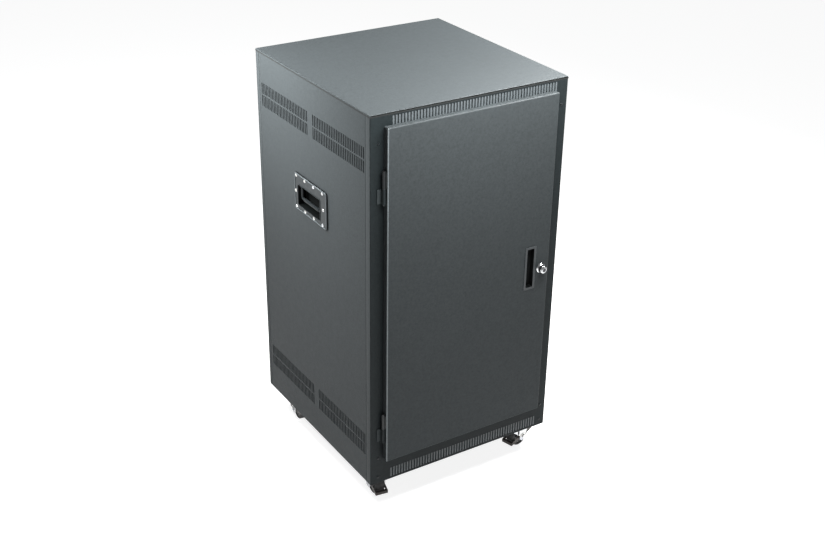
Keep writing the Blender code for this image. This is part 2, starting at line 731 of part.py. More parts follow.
def caster_fork(name, swivel):
    """A pressed U: a crown under the race and two wide legs down to the axle."""
    axle_z = WHEEL_R - CASTER_H
    top = -CROWN_TOP
    front, back, corner = FORK_FRONT, FORK_BACK, FORK_CORNER
    outline = [(front, top), (back - corner, top), (back, top - corner), (back, top - 0.022)]
    for step in range(7):
        angle = math.radians(20 - step * 220 / 6)
        along = CASTER_TRAIL + FORK_EAR_R * math.cos(angle)
        outline.append((along, axle_z + FORK_EAR_R * math.sin(angle)))
    outline.append((front, top - 0.018))
    half = FORK_HALF_W
    fork = add(name + "_caster_fork", prism(outline, "X", -half, half), "zinc", swivel)
    inner = half - FORK_LEG_T
    lo = (-inner, front - 0.010, axle_z - 0.030)
    hi = (inner, back + 0.010, top - CROWN_T)
    cut(fork, box(lo, hi), swivel)
    origin = (0.0, 0.0, 0.0)
    cut(fork, rod(KINGPIN_R + 0.0005, "Z", origin, top - 0.010, top + 0.010), swivel)
    axle = (0.0, CASTER_TRAIL, axle_z)
    cut(fork, rod(AXLE_R + GAP, "X", axle, -half - 0.005, half + 0.005), swivel)

    head = half + AXLE_BOLT_PROUD
    bolt = (
        (0.0062, -head),
        (0.0068, -half - GAP),
        (AXLE_R, -half - GAP),
        (AXLE_R, half + GAP),
        (0.0068, half + GAP),
        (0.0062, head),
    )
    add(name + "_axle_bolt", turned(bolt, "X", axle, 12), "zinc", swivel, smooth=True)


def caster_wheel(name, swivel):
    """A rubber tyre on a moulded hub. A flat of the tyre stands on the floor."""
    axle = (0.0, CASTER_TRAIL, WHEEL_R - CASTER_H)
    half = WHEEL_W / 2
    tread_r = WHEEL_R / math.cos(math.pi / WHEEL_FACETS)
    tyre = (
        (SEAT_R, -half + 0.002),
        (tread_r - 0.004, -half),
        (tread_r, -half + 0.004),
        (tread_r, half - 0.004),
        (tread_r - 0.004, half),
        (SEAT_R, half - 0.002),
    )
    tyre_bm = turned(tyre, "X", axle, WHEEL_FACETS, ring=True)
    add(name + "_tyre", tyre_bm, "rubber_black", swivel, smooth=True)
    rim_r = SEAT_R * math.cos(math.pi / WHEEL_FACETS) - GAP
    hub = (
        (AXLE_R + GAP, -half - 0.001),
        (0.0090, -half - 0.001),
        (0.0100, -half + 0.005),
        (0.0200, -half + 0.005),
        (rim_r, -half + 0.002),
        (rim_r, half - 0.002),
        (0.0200, half - 0.005),
        (0.0100, half - 0.005),
        (0.0090, half + 0.001),
        (AXLE_R + GAP, half + 0.001),
    )
    hub_bm = turned(hub, "X", axle, HUB_FACETS, ring=True)
    add(name + "_hub", hub_bm, "hub_grey", swivel, smooth=True)


def brake_pedal(name, swivel):
    """A rocker on the axle: two arms beside the wheel, a rear loop and a front toe tab."""
    axle_z = WHEEL_R - CASTER_H
    inner, outer = PEDAL_ARM_X
    rear, lift = PEDAL_REAR, axle_z + 0.008
    toe_y, toe_z = PEDAL_TOE, axle_z - 0.017
    outline = [
        (rear, lift + 0.004),
        (CASTER_TRAIL, axle_z + 0.009),
        (toe_y, toe_z + 0.009),
        (toe_y, toe_z),
        (CASTER_TRAIL - 0.006, axle_z - 0.010),
        (CASTER_TRAIL + 0.006, axle_z - 0.009),
        (rear, lift - 0.004),
    ]
    pedal = add(name + "_brake_pedal", prism(outline, "X", -outer, outer), "pedal_black", swivel)
    keep_rear, keep_front = rear - PEDAL_END_T, toe_y + PEDAL_END_T
    cut(pedal, box((-inner, keep_front, axle_z - 0.05), (inner, keep_rear, axle_z + 0.05)), swivel)
    axle = (0.0, CASTER_TRAIL, axle_z)
    cut(pedal, rod(AXLE_R + GAP, "X", axle, -0.030, 0.030), swivel)


def main():
    clear_scene()
    front_frame()
    rear_frame_and_panel()
    base_pan()
    top_panel()
    for side_name, side in (("left", -1), ("right", 1)):
        side_panel(side_name, side)
        handle_dish(side_name, side)
        handle_grip(side_name, side)
        for level_name, lift in zip(("lower", "upper"), BAR_LIFTS):
            depth_bar(side_name, side, level_name, lift)
        for place_name in ("front", "rear"):
            rack_rail(place_name, side_name, side)
    door_panel()
    door_stiffener()
    for level_name, low, high in HINGE_SPANS:
        hinge(level_name, low, high)
    flush_pull()
    lock()
    for name, side, end, swivel_deg in CASTERS:
        caster(name, side, end, swivel_deg)


main()
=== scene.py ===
"""Looks of the network rack cabinet: finishes, pressed and punched sheet, fittings and casters.

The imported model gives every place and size. Pieces that show up close are rebuilt here
with rounder bends, rivets, screws, ribs and slots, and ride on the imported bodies.
Lengths are in metres: X to the right, Y to the back, Z up, the door facing -Y.
"""

import json
import math

import bmesh
import bpy
from mathutils import Matrix, Vector


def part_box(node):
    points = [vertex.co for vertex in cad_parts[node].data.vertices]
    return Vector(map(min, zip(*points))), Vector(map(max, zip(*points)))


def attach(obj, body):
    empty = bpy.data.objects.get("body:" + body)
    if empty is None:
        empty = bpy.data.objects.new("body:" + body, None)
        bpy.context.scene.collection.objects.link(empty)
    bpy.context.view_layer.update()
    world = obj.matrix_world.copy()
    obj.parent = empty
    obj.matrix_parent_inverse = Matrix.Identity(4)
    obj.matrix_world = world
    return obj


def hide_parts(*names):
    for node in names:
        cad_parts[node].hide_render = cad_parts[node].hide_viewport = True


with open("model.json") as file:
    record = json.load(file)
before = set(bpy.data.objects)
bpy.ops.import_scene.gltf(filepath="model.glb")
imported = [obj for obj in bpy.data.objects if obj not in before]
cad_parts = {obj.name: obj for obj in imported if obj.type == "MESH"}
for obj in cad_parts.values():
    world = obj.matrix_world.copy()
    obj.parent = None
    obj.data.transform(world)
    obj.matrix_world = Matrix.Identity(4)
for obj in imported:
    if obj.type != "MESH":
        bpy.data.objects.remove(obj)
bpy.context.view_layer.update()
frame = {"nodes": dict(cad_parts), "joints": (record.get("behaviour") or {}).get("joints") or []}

# Sheet metal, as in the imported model
SHEET = 0.0015
LID_SHEET = 0.0012
BEND = 0.002
DOOR_BEND = 0.003
LID_BEND = 0.0016
GAP = 0.0003
LID_GASKET_H = 0.0026

# Fine vent slots in each side panel, measured from the body's front and underside
SIDE_SLOT_PITCH = 0.0084
SIDE_SLOT_W = 0.0042
SIDE_SLOT_COUNT = 30
SIDE_FIELDS_Y = (0.026, 0.3015)
SIDE_ROWS_Z = ((0.083, 0.030), (0.117, 0.029), (0.865, 0.030), (0.899, 0.029))

# Front vent slots and the door opening, measured the same way
FRONT_SLOT_COUNT = 55
FRONT_SLOT_PITCH = 0.0084
FRONT_SLOT_W = 0.0042
FRONT_SLOT_H = 0.027
FRONT_SLOT_FIRST_X = -0.216
FRONT_SLOT_ROWS_Z = (0.008, 0.9745)
FILTER_FROM_SHEET = (0.0008, 0.0016)
FILTER_LAP = 0.004
OPENING_W = 0.483
OPENING_Z = (0.075, 0.968)

# Side handles
DISH_DEPTH = 0.0205
DISH_FLANGE_T = 0.0027
DISH_MARGIN_Y = (0.034, 0.018)
DISH_MARGIN_Z = (0.014, 0.029)
RIVET_R = 0.0044
RIVET_H = 0.0021

# Rails and base pan
RAIL_SHEET = 0.002
RAIL_BEND = 0.0032
RAIL_MARGIN = 0.001
RACK_UNITS = 20
UNIT = 0.04445
HOLE_OFFSETS = (0.00635, 0.022225, 0.0381)
HOLE_SIDE = 0.0095
HOLE_COLUMN_X = 0.23256
PAN_SHEET = 0.0018
PAN_BEND = 0.0025
CABLE_SLOT = (0.300, 0.060)
CABLE_SLOT_FROM_REAR = 0.140

# Flush pull and lock
PULL_RIM = 0.0065
PULL_DEPTH = 0.0125
PULL_RIM_T = 0.0012

# Casters, in a caster's own frame: swivel axis on Z, trailing to +Y
FORK_HALF_W = 0.023
FORK_LEG_T = 0.0025
CROWN_TOP = 0.0085
CROWN_T = 0.0040
AXLE_BORE_R = 0.0043
CASTERS = ("front_left", "front_right", "rear_left", "rear_right")

# The viewing direction onto the middle of the body, and the lens
VIEW_AZIMUTH = -32.57
VIEW_ELEVATION = 27.41
VIEW_ROLL = 0.87
VIEW_DISTANCE = 3.382
VIEW_SLIDE = (0.0185, -0.0837)
LENS_MM = 55.1
SENSOR_MM = 36.0

# The stage
FLOOR_HALF_W = 30.0
FLOOR_GLOW = 0.86
SKY_STRENGTH = 0.20


# ---- materials


class Shader:
    """A Principled material with a short way to add and join nodes."""

    def __init__(self, name, colour, roughness, metallic=0.0):
        self.material = bpy.data.materials.new(name)
        self.material.use_nodes = True
        self.tree = self.material.node_tree
        self.bsdf = self.tree.nodes["Principled BSDF"]
        self.set("Base Color", (*colour, 1.0))
        self.set("Roughness", roughness)
        self.set("Metallic", metallic)
        self.material.diffuse_color = (*colour, 1.0)
        self.where = self.node("TexCoord").outputs["Object"]

    def set(self, socket, value):
        self.bsdf.inputs[socket].default_value = value

    def join(self, output, socket):
        self.tree.links.new(output, socket)

    def feed(self, socket, output):
        self.join(output, self.bsdf.inputs[socket])

    def node(self, kind, **values):
        """A node of the kind named, with its inputs' values."""
        node = self.tree.nodes.new("ShaderNode" + kind)
        for socket, value in values.items():
            node.inputs[socket.replace("_", " ")].default_value = value
        return node

    def noise(self, scale, detail=3.0, stretch=None):
        node = self.node("TexNoise", Scale=scale, Detail=detail)
        self.join(self.stretched(stretch), node.inputs["Vector"])
        return node.outputs["Fac"]

    def stretched(self, stretch):
        if stretch is None:
            return self.where
        node = self.node("Mapping", Scale=stretch)
        self.join(self.where, node.inputs["Vector"])
        return node.outputs["Vector"]

    def ranged(self, output, low, high, start=0.3, end=0.7):
        node = self.node("MapRange", From_Min=start, From_Max=end, To_Min=low, To_Max=high)
        self.join(output, node.inputs["Value"])
        return node.outputs["Result"]

    def blend(self, share, first, second):
        node = self.node("Mix")
        node.data_type = "RGBA"
        for name, value in (("A", first), ("B", second)):
            socket = [s for s in node.inputs if s.name == name and s.type == "RGBA"][0]
            if isinstance(value, tuple):
                socket.default_value = (*value, 1.0)
            else:
                self.join(value, socket)
        self.join(share, node.inputs["Factor"])
        return [s for s in node.outputs if s.type == "RGBA"][0]

    def edge_wear_and_highlight(self, start=0.56, end=0.66):
        # Paler convex edges by pointiness: part edge wear, part painted highlight.
        node = self.node("NewGeometry")
        return self.ranged(node.outputs["Pointiness"], 0.0, 1.0, start, end)

    def bump(self, height, distance, strength=1.0, under=None):
        node = self.node("Bump", Distance=distance, Strength=strength)
        self.join(height, node.inputs["Height"])
        if under is not None:
            self.join(under, node.inputs["Normal"])
        self.feed("Normal", node.outputs["Normal"])
        return node.outputs["Normal"]


def powder_coat(name, colour, roughness, gloss):
    """Fine-textured powder coat: speckle, orange peel, faint clouding, and edges paler from wear and
    painted highlight.
    """
    coat = Shader(name, colour, roughness)
    coat.set("Specular IOR Level", gloss)
    clouds = coat.ranged(coat.noise(4.0, 3.0), 0.0, 1.0)
    clouded = coat.blend(clouds, tuple(c * 0.95 for c in colour), tuple(c * 1.05 for c in colour))
    grains = coat.ranged(coat.noise(330.0, 2.0), 0.0, 1.0)
    speckled = coat.blend(grains, tuple(c * 0.80 for c in colour), clouded)
    mottle = coat.ranged(coat.noise(150.0, 2.0), 0.0, 0.45)
    speckled = coat.blend(mottle, speckled, tuple(c * 1.30 for c in colour))
    wear_and_highlight_colour = tuple(c * 1.9 + 0.01 for c in colour)
    coat.feed("Base Color", coat.blend(coat.edge_wear_and_highlight(), speckled, wear_and_highlight_colour))
    rubbed = coat.ranged(coat.noise(60.0, 5.0), roughness - 0.02, roughness + 0.03)
    coat.feed("Roughness", rubbed)
    peel = coat.bump(coat.noise(420.0, 2.0), 0.00014, 0.7)
    coat.bump(coat.noise(1100.0, 2.0), 0.00012, 0.9, under=peel)
    return coat.material


def zinc_plate(name, colour=(0.50, 0.51, 0.53), roughness=0.32, metal=1.0):
    """Metal plate: faint yellow and blue clouding, and drawn streaks."""
    zinc = Shader(name, colour, roughness, metal)
    warm = (colour[0] * 0.98, colour[1] * 0.95, colour[2] * 0.86)
    cool = (colour[0] * 1.04, colour[1] * 1.05, colour[2] * 1.10)
    clouded = zinc.blend(zinc.ranged(zinc.noise(55.0, 4.0), 0.0, 1.0), warm, cool)
    zinc.feed("Base Color", clouded)
    streaks = zinc.noise(300.0, 4.0, stretch=(1.0, 1.0, 0.12))
    zinc.feed("Roughness", zinc.ranged(streaks, roughness - 0.07, roughness + 0.09))
    zinc.bump(streaks, 0.00004, 0.4)
    return zinc.material


def chrome_plate(name):
    """Polished chrome with faint polishing marks and fingerprints."""
    chrome = Shader(name, (0.62, 0.63, 0.64), 0.10, 1.0)
    chrome.feed("Roughness", chrome.ranged(chrome.noise(220.0, 5.0), 0.06, 0.18))
    chrome.bump(chrome.noise(900.0, 3.0), 0.00003, 0.3)
    return chrome.material


def moulded(name, colour, roughness, grain=650.0, depth=0.45, gloss=0.30):
    """Moulded plastic or satin paint with a fine spark-eroded grain."""
    plastic = Shader(name, colour, roughness)
    plastic.set("Specular IOR Level", gloss)
    # Edges paler by pointiness: part edge wear, part painted highlight.
    wear_and_highlight_colour = tuple(c * 1.8 + 0.010 for c in colour)
    plastic.feed("Base Color", plastic.blend(plastic.edge_wear_and_highlight(), colour, wear_and_highlight_colour))
    rubbed = plastic.ranged(plastic.noise(70.0, 4.0), roughness - 0.06, roughness + 0.07)
    plastic.feed("Roughness", rubbed)
    plastic.bump(plastic.noise(grain, 2.0), 0.00010, depth)
    return plastic.material


def tyre_rubber(name):
    """Matt black rubber, dusty and scuffed on the tread."""
    rubber = Shader(name, (0.014, 0.014, 0.014), 0.72)
    dust = rubber.ranged(rubber.noise(120.0, 6.0), 0.0, 0.55, 0.45, 0.75)
    dusty = rubber.blend(dust, (0.012, 0.012, 0.012), (0.045, 0.043, 0.040))
    rubber.feed("Base Color", dusty)
    rubber.feed("Roughness", rubber.ranged(rubber.noise(90.0, 4.0), 0.62, 0.82))
    rubber.bump(rubber.noise(480.0, 4.0), 0.00015, 0.5)
    return rubber.material


MATERIALS = {
    "powder_black": powder_coat("powder coat, body", (0.0250, 0.0288, 0.0302), 0.50, 0.08),
    "frame_black": powder_coat("powder coat, front frame", (0.009, 0.0118, 0.0126), 0.50, 0.10),
    "powder_inner": powder_coat("powder coat, inside", (0.020, 0.023, 0.024), 0.52, 0.22),
    # A paler coat for the vent-strip lands and the dish's edge bead: a painted highlight.
    "painted_highlight": powder_coat("powder coat, painted highlight", (0.056, 0.064, 0.068), 0.42, 0.30),
    "moulded_black": moulded("black satin fittings", (0.010, 0.012, 0.013), 0.34),
    # A pale coat for the door's left bend: a painted highlight.
    "painted_edge_highlight": powder_coat("powder coat, painted edge highlight", (0.120, 0.136, 0.143), 0.40, 0.30),
    "pull_rim": moulded("satin pull rim", (0.027, 0.031, 0.033), 0.42, 900.0),
    "dish_plate": moulded("satin dish plate", (0.013, 0.0155, 0.0165), 0.40, 900.0),
    # A near-black coat for recesses, seams and edge gaps: painted shade and shadow.
    "painted_shade_black": moulded("black painted shade", (0.003, 0.0035, 0.0035), 0.55, 900.0, gloss=0.12),
    "filter": moulded("grey filter cloth", (0.034, 0.039, 0.041), 0.90, 1400.0, 1.0, 0.05),
    "zinc": zinc_plate("bright zinc plate"),
    "rivet": zinc_plate("aluminium rivets", (0.72, 0.73, 0.74), 0.26, 0.78),
    "rail_black": powder_coat("powder coat, rails", (0.062, 0.068, 0.071), 0.40, 0.40),
    "chrome": chrome_plate("chrome plate"),
    "rubber_black": tyre_rubber("tyre rubber"),
    "hub_grey": moulded("moulded grey hub", (0.075, 0.075, 0.075), 0.45),
    "pedal_black": moulded("black brown pedal paint", (0.028, 0.021, 0.018), 0.40),
    "screw_black": moulded("blackened screws", (0.007, 0.009, 0.010), 0.38, depth=0.2),
    "hinge_black": moulded("black hinge enamel", (0.006, 0.0075, 0.008), 0.34, depth=0.1),
    "pin_dark": zinc_plate("dark plated pins", (0.10, 0.10, 0.105), 0.32),
}


# ---- modelling tools


def linked(name, data):
    """A new object in the scene."""
    made = bpy.data.objects.new(name, data)
    bpy.context.scene.collection.objects.link(made)
    return made


def mesh_of(bm, name):
    """A mesh from bm, which is used up."""
    mesh = bpy.data.meshes.new(name)
    bm.to_mesh(mesh)
    bm.free()
    return mesh


def evaluated(made):
    """The mesh that an object's curve or modifiers make."""
    view = bpy.context.evaluated_depsgraph_get()
    return bpy.data.meshes.new_from_object(made.evaluated_get(view))


def fix(made):
    """Apply the modifiers for good."""
    mesh = evaluated(made)
    made.modifiers.clear()
    made.data = mesh


def piece(name, bm, look, smooth_deg=35):
    """A mesh object from bm with one finish."""
    bmesh.ops.recalc_face_normals(bm, faces=bm.faces)
    mesh = mesh_of(bm, name)
    made = linked(name, mesh)
    mesh.materials.append(MATERIALS[look])
    mesh.shade_smooth()
    mesh.set_sharp_from_angle(angle=math.radians(smooth_deg))
    made["look"] = look
    return made


def settle(made, body, *nodes):
    """Fix the modifiers, ride on a body and stand for the CAD nodes named."""
    fix(made)
    if nodes:
        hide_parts(*nodes)
    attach(made, body)


def combine(target, bm, operation="DIFFERENCE"):
    """Cut bm out of target, or join it on, for good."""
    bmesh.ops.recalc_face_normals(bm, faces=bm.faces)
    guide = linked("guide", mesh_of(bm, "guide"))
    step = target.modifiers.new("boolean", "BOOLEAN")
    step.operation = operation
    step.solver = "EXACT"
    step.object = guide
    fix(target)
    bpy.data.objects.remove(guide, do_unlink=True)


def keep_flat(made):
    """Weighted normals, so that round bends don't shade the flats beside them."""
    flat = made.modifiers.new("normals", "WEIGHTED_NORMAL")
    flat.keep_sharp = True
    return made


def soften(made, width, segments=3, angle_deg=40):
    """Round the edges, and keep the flats flat."""
    step = made.modifiers.new("bevel", "BEVEL")
    step.width = width
    step.segments = segments
    step.limit_method = "ANGLE"
    step.angle_limit = math.radians(angle_deg)
    step.use_clamp_overlap = True
    step.miter_outer = "MITER_ARC"
    return keep_flat(made)


def box_into(bm, lo, hi):
    size = Vector(hi) - Vector(lo)
    middle = (Vector(hi) + Vector(lo)) / 2
    place = Matrix.Translation(middle) @ Matrix.Diagonal((*size, 1.0))
    bmesh.ops.create_cube(bm, size=1.0, matrix=place)
    return bm


def box(lo, hi):
    return box_into(bmesh.new(), lo, hi)


def moved(bm, matrix):
    bm.transform(matrix)
    return bm


def merged(*parts):
    """One bmesh from several."""
    whole = bmesh.new()
    for part in parts:
        mesh = mesh_of(part, "part")
        whole.from_mesh(mesh)
        bpy.data.meshes.remove(mesh)
    return whole


def group(name, parts, look):
    """Several small parts as one piece on the cabinet."""
    settle(piece(name, merged(*parts), look), "cabinet")


def prism(outline, axis, start, end):
    """Extrude a closed outline along X, Y or Z. Its points name the other two, in order."""
    bm = bmesh.new()
    place = "XYZ".index(axis)
    spots = [bm.verts.new((*point[:place], start, *point[place:])) for point in outline]
    pushed = bmesh.ops.extrude_face_region(bm, geom=[bm.faces.new(spots)])["geom"]
    tips = [part for part in pushed if isinstance(part, bmesh.types.BMVert)]
    move = Vector()
    move[place] = end - start
    bmesh.ops.translate(bm, verts=tips, vec=move)
    return bm


def rounded(lo, hi, radius, steps=8):
    """A rectangle's outline with round corners, in two coordinates."""
    x0, y0, x1, y1 = lo[0] + radius, lo[1] + radius, hi[0] - radius, hi[1] - radius
    points = []
    for quarter, (across, up) in enumerate(((x1, y1), (x0, y1), (x0, y0), (x1, y0))):
        for step in range(steps + 1):
            angle = math.pi / 2 * (quarter + step / steps)
            points.append((across + radius * math.cos(angle), up + radius * math.sin(angle)))
    return points


TO_AXIS = {
    "X": Matrix.Rotation(math.pi / 2, 4, "Y"),
    "Y": Matrix.Rotation(-math.pi / 2, 4, "X"),
    "Z": Matrix.Identity(4),
}


def turned(profile, axis="Z", centre=(0.0, 0.0, 0.0), facets=48, ring=False):
    """Turn (radius, distance) points about an axis. A radius of 0 closes on a point."""
    bm = bmesh.new()
    loops = []
    for radius, along in profile:
        loop = []
        for step in range(facets if radius else 1):
            angle = 2 * math.pi * (step + 0.5) / facets
            spot = Vector((radius * math.cos(angle), radius * math.sin(angle), along))
            loop.append(bm.verts.new(TO_AXIS[axis] @ spot + Vector(centre)))
        loops.append(loop)
    pairs = list(zip(loops, loops[1:]))
    if ring:
        pairs.append((loops[-1], loops[0]))
    for low, high in pairs:
        for step in range(facets):
            after = (step + 1) % facets
            corners = [low[step % len(low)], low[after % len(low)]]
            corners += [high[after % len(high)], high[step % len(high)]]
            bm.faces.new(list(dict.fromkeys(corners)))
    if not ring:
        for loop in (loops[0], loops[-1]):
            if len(loop) > 1:
                bm.faces.new(loop)
    return bm


def rod(radius, axis, centre, start, end, facets=32):
    return turned(((radius, start), (radius, end)), axis, centre, facets)


def dome(radius, height, dimple, steps=6):
    """The profile of a round head with a dimple, standing on distance 0."""
    points = [(radius, -0.0004)]
    for step in range(steps):
        angle = math.pi / 2 * step / steps
        points.append((radius * math.cos(angle), height * math.sin(angle)))
    points = [point for point in points if point[0] > dimple * 1.15]
    return points + [(dimple, height * 0.92), (dimple * 0.8, height * 0.45), (0.0, height * 0.40)]


def stood(bm, spot, normal):
    """Stand bm, which points along Z, on a face at spot."""
    turn = Vector(normal).to_track_quat("Z", "Y").to_matrix().to_4x4()
    return moved(bm, Matrix.Translation(spot) @ turn)


def head_at(profile, spot, normal, facets=20):
    """A turned head standing on a face at spot."""
    return stood(turned(profile, facets=facets), spot, normal)


def tray(name, lo, hi, open_side, look, sheet=SHEET, bend=BEND, segments=5):
    """A folded sheet tray: a box without its open side, such as '+Y', with round bends."""
    bm = box(lo, hi)
    axis = "XYZ".index(open_side[1])
    sign = 1 if open_side[0] == "+" else -1
    bm.normal_update()
    gone = [face for face in bm.faces if face.normal[axis] * sign > 0.9]
    bmesh.ops.delete(bm, geom=gone, context="FACES")
    folds = [edge for edge in bm.edges if not edge.is_boundary]
    bmesh.ops.bevel(bm, geom=folds, offset=bend, segments=segments, affect="EDGES", profile=0.5)
    made = piece(name, bm, look)
    skin = made.modifiers.new("sheet", "SOLIDIFY")
    skin.thickness = sheet
    skin.offset = -1.0
    skin.use_even_offset = True
    return made


def swept(name, route, radius, look, sides=5):
    """A round bar along a list of points."""
    curve = bpy.data.curves.new(name, "CURVE")
    curve.dimensions = "3D"
    curve.bevel_depth = radius
    curve.bevel_resolution = sides
    curve.use_fill_caps = True
    line = curve.splines.new("POLY")
    line.points.add(len(route) - 1)
    for point, spot in zip(line.points, route):
        point.co = (*spot, 1.0)
    holder = linked(name + "_curve", curve)
    mesh = evaluated(holder)
    bpy.data.objects.remove(holder, do_unlink=True)
    bm = bmesh.new()
    bm.from_mesh(mesh)
    bpy.data.meshes.remove(mesh)
    return piece(name, bm, look, 50)


def filleted(corners, radii, steps=8):
    """A route through corners, each rounded by its own radius."""
    route = []
    for number, (spot, radius) in enumerate(zip(corners, radii)):
        here = Vector(spot)
        if radius == 0.0:
            route.append(here)
            continue
        before = (Vector(corners[number - 1]) - here).normalized()
        after = (Vector(corners[(number + 1) % len(corners)]) - here).normalized()
        start, end = here + before * radius, here + after * radius
        for step in range(steps + 1):
            share = step / steps
            route.append(start.lerp(here, share).lerp(here.lerp(end, share), share))
    return route


# ---- cabinet sheets


front_lo, front_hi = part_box("front_frame")
FRONT_Y = front_lo.y
FLOOR_Z = front_lo.z
REAR_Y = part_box("rear_frame")[1].y
LID_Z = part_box("top_panel")[1].z
DOOR_FACE_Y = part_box("door_panel")[0].y


def dish_mouth(node):
    """The low and high (y, z) corners of the recess in a handle dish."""
    lo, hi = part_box(node)
    return (
        (lo.y + DISH_MARGIN_Y[0], lo.z + DISH_MARGIN_Z[0]),
        (hi.y - DISH_MARGIN_Y[1], hi.z - DISH_MARGIN_Z[1]),
    )


def repaint(made, look, wanted):
    """Give another finish to the faces whose middle and normal wanted(middle, normal) picks."""
    made.data.materials.append(MATERIALS[look])
    for face in made.data.polygons:
        if wanted(face.center, face.normal):
            face.material_index = len(made.data.materials) - 1


def front_frame():
    """The folded front frame: front and back faces in the near-black frame coat, body-coloured
    returns, and vent-strip lands painted paler as a painted highlight.
    """
    made = tray("front_frame_skin", front_lo, front_hi, "+Y", "powder_black")
    back = FRONT_Y + 2 * SHEET
    low = (-OPENING_W / 2, FRONT_Y - SHEET, FLOOR_Z + OPENING_Z[0])
    holes = box(low, (OPENING_W / 2, back, FLOOR_Z + OPENING_Z[1]))
    for row in FRONT_SLOT_ROWS_Z:
        for number in range(FRONT_SLOT_COUNT):
            left = FRONT_SLOT_FIRST_X + number * FRONT_SLOT_PITCH
            low = (left, FRONT_Y - SHEET, FLOOR_Z + row)
            high = (left + FRONT_SLOT_W, back, FLOOR_Z + row + FRONT_SLOT_H)
            box_into(holes, low, high)
    combine(made, holes)
    bm = bmesh.new()
    bm.from_mesh(made.data)
    land = FRONT_SLOT_PITCH - FRONT_SLOT_W
    first = FRONT_SLOT_FIRST_X - land
    last = FRONT_SLOT_FIRST_X + FRONT_SLOT_COUNT * FRONT_SLOT_PITCH
    cuts = [((edge, 0.0, 0.0), (1.0, 0.0, 0.0)) for edge in (first, last)]
    for row in FRONT_SLOT_ROWS_Z:
        for height in (row, row + FRONT_SLOT_H):
            cuts.append(((0.0, 0.0, FLOOR_Z + height), (0.0, 0.0, 1.0)))
    for spot, normal in cuts:
        everything = bm.verts[:] + bm.edges[:] + bm.faces[:]
        bmesh.ops.bisect_plane(bm, geom=everything, dist=1e-6, plane_co=spot, plane_no=normal)
    bm.to_mesh(made.data)
    bm.free()
    strips = [(FLOOR_Z + row, FLOOR_Z + row + FRONT_SLOT_H) for row in FRONT_SLOT_ROWS_Z]

    def in_strip(middle):
        level = any(low < middle.z < high for low, high in strips)
        return level and first < middle.x < last

    repaint(made, "frame_black", lambda at, normal: abs(normal.y) > 0.5 and not in_strip(at))
    # The vent strips' lands are painted paler: a painted highlight.
    repaint(made, "painted_highlight", lambda at, normal: normal.y < -0.5 and in_strip(at))
    settle(keep_flat(made), "cabinet", "front_frame")
    near, far = (FRONT_Y + SHEET + gap for gap in FILTER_FROM_SHEET)
    lap = FILTER_LAP
    cloths = [box((first, near, low - lap), (last, far, high + lap)) for low, high in strips]
    group("front_vent_filters", cloths, "frame_black")


def plain_tray(name, node, open_side, look, sheet=SHEET, body="cabinet"):
    """A folded tray that stands for a CAD node without further work."""
    lo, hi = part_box(node)
    settle(keep_flat(tray(name, lo, hi, open_side, look, sheet)), body, node)


def rear_frame():
    """The rear frame's folded rim and border, and the panel screwed in it."""
    lo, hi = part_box("rear_frame")
    made = tray("rear_frame_skin", lo, hi, "-Y", "powder_black")
    panel_lo, panel_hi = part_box("rear_panel")
    room = 0.0006
    low = (panel_lo.x - room, REAR_Y - 2 * SHEET, panel_lo.z - room)
    combine(made, box(low, (panel_hi.x + room, REAR_Y + SHEET, panel_hi.z + room)))
    settle(keep_flat(made), "cabinet", "rear_frame")
    plain_tray("rear_panel_skin", "rear_panel", "-Y", "powder_black")


def lid():
    """The lid, with its front rim painted near black as painted shade, on a black strip that paints
    the shadow in the seam under it.
    """
    lo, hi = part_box("top_panel")
    made = tray("lid_skin", lo, hi, "-Z", "powder_black", LID_SHEET, LID_BEND)
    # The front rim is painted near black: painted shade over the seam below it.
    repaint(made, "painted_shade_black", lambda at, normal: normal.y < -0.9)
    settle(keep_flat(made), "cabinet", "top_panel")
    # A black strip, a little proud of the lid all round, paints the shadow in the seam under the lid.
    proud, width = 0.0003, 0.006
    low, high = lo.z - LID_GASKET_H, lo.z + 0.0002
    outer = box((lo.x - proud, lo.y - proud, low), (hi.x + proud, hi.y + proud, high))
    made = piece("lid_seam_shadow_strip", outer, "painted_shade_black")
    wall = width - proud
    inner_lo = (lo.x + wall, lo.y + wall, low - width)
    combine(made, box(inner_lo, (hi.x - wall, hi.y - wall, high + width)))
    settle(made, "cabinet")


def side_panel(side_name, side):
    """A side panel with its eight fields of punched vent slots."""
    node = side_name + "_side_panel"
    lo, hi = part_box(node)
    made = tray(side_name + "_side_skin", lo, hi, "-X" if side > 0 else "+X", "powder_black")
    outer = hi.x if side > 0 else lo.x
    reach = 3 * SHEET
    slots = bmesh.new()
    for field_y in SIDE_FIELDS_Y:
        for row_z, height in SIDE_ROWS_Z:
            for number in range(SIDE_SLOT_COUNT):
                near = FRONT_Y + field_y + number * SIDE_SLOT_PITCH
                low = (outer - reach, near, FLOOR_Z + row_z)
                high = (outer + reach, near + SIDE_SLOT_W, FLOOR_Z + row_z + height)
                box_into(slots, low, high)
    combine(made, slots)
    (y0, z0), (y1, z1) = dish_mouth(side_name + "_handle_dish")
    room = SHEET + 0.001
    window = rounded((y0 - room, z0 - room), (y1 + room, z1 + room), 0.006)
    combine(made, prism(window, "X", outer - reach, outer + reach))
    settle(keep_flat(made), "cabinet", node)


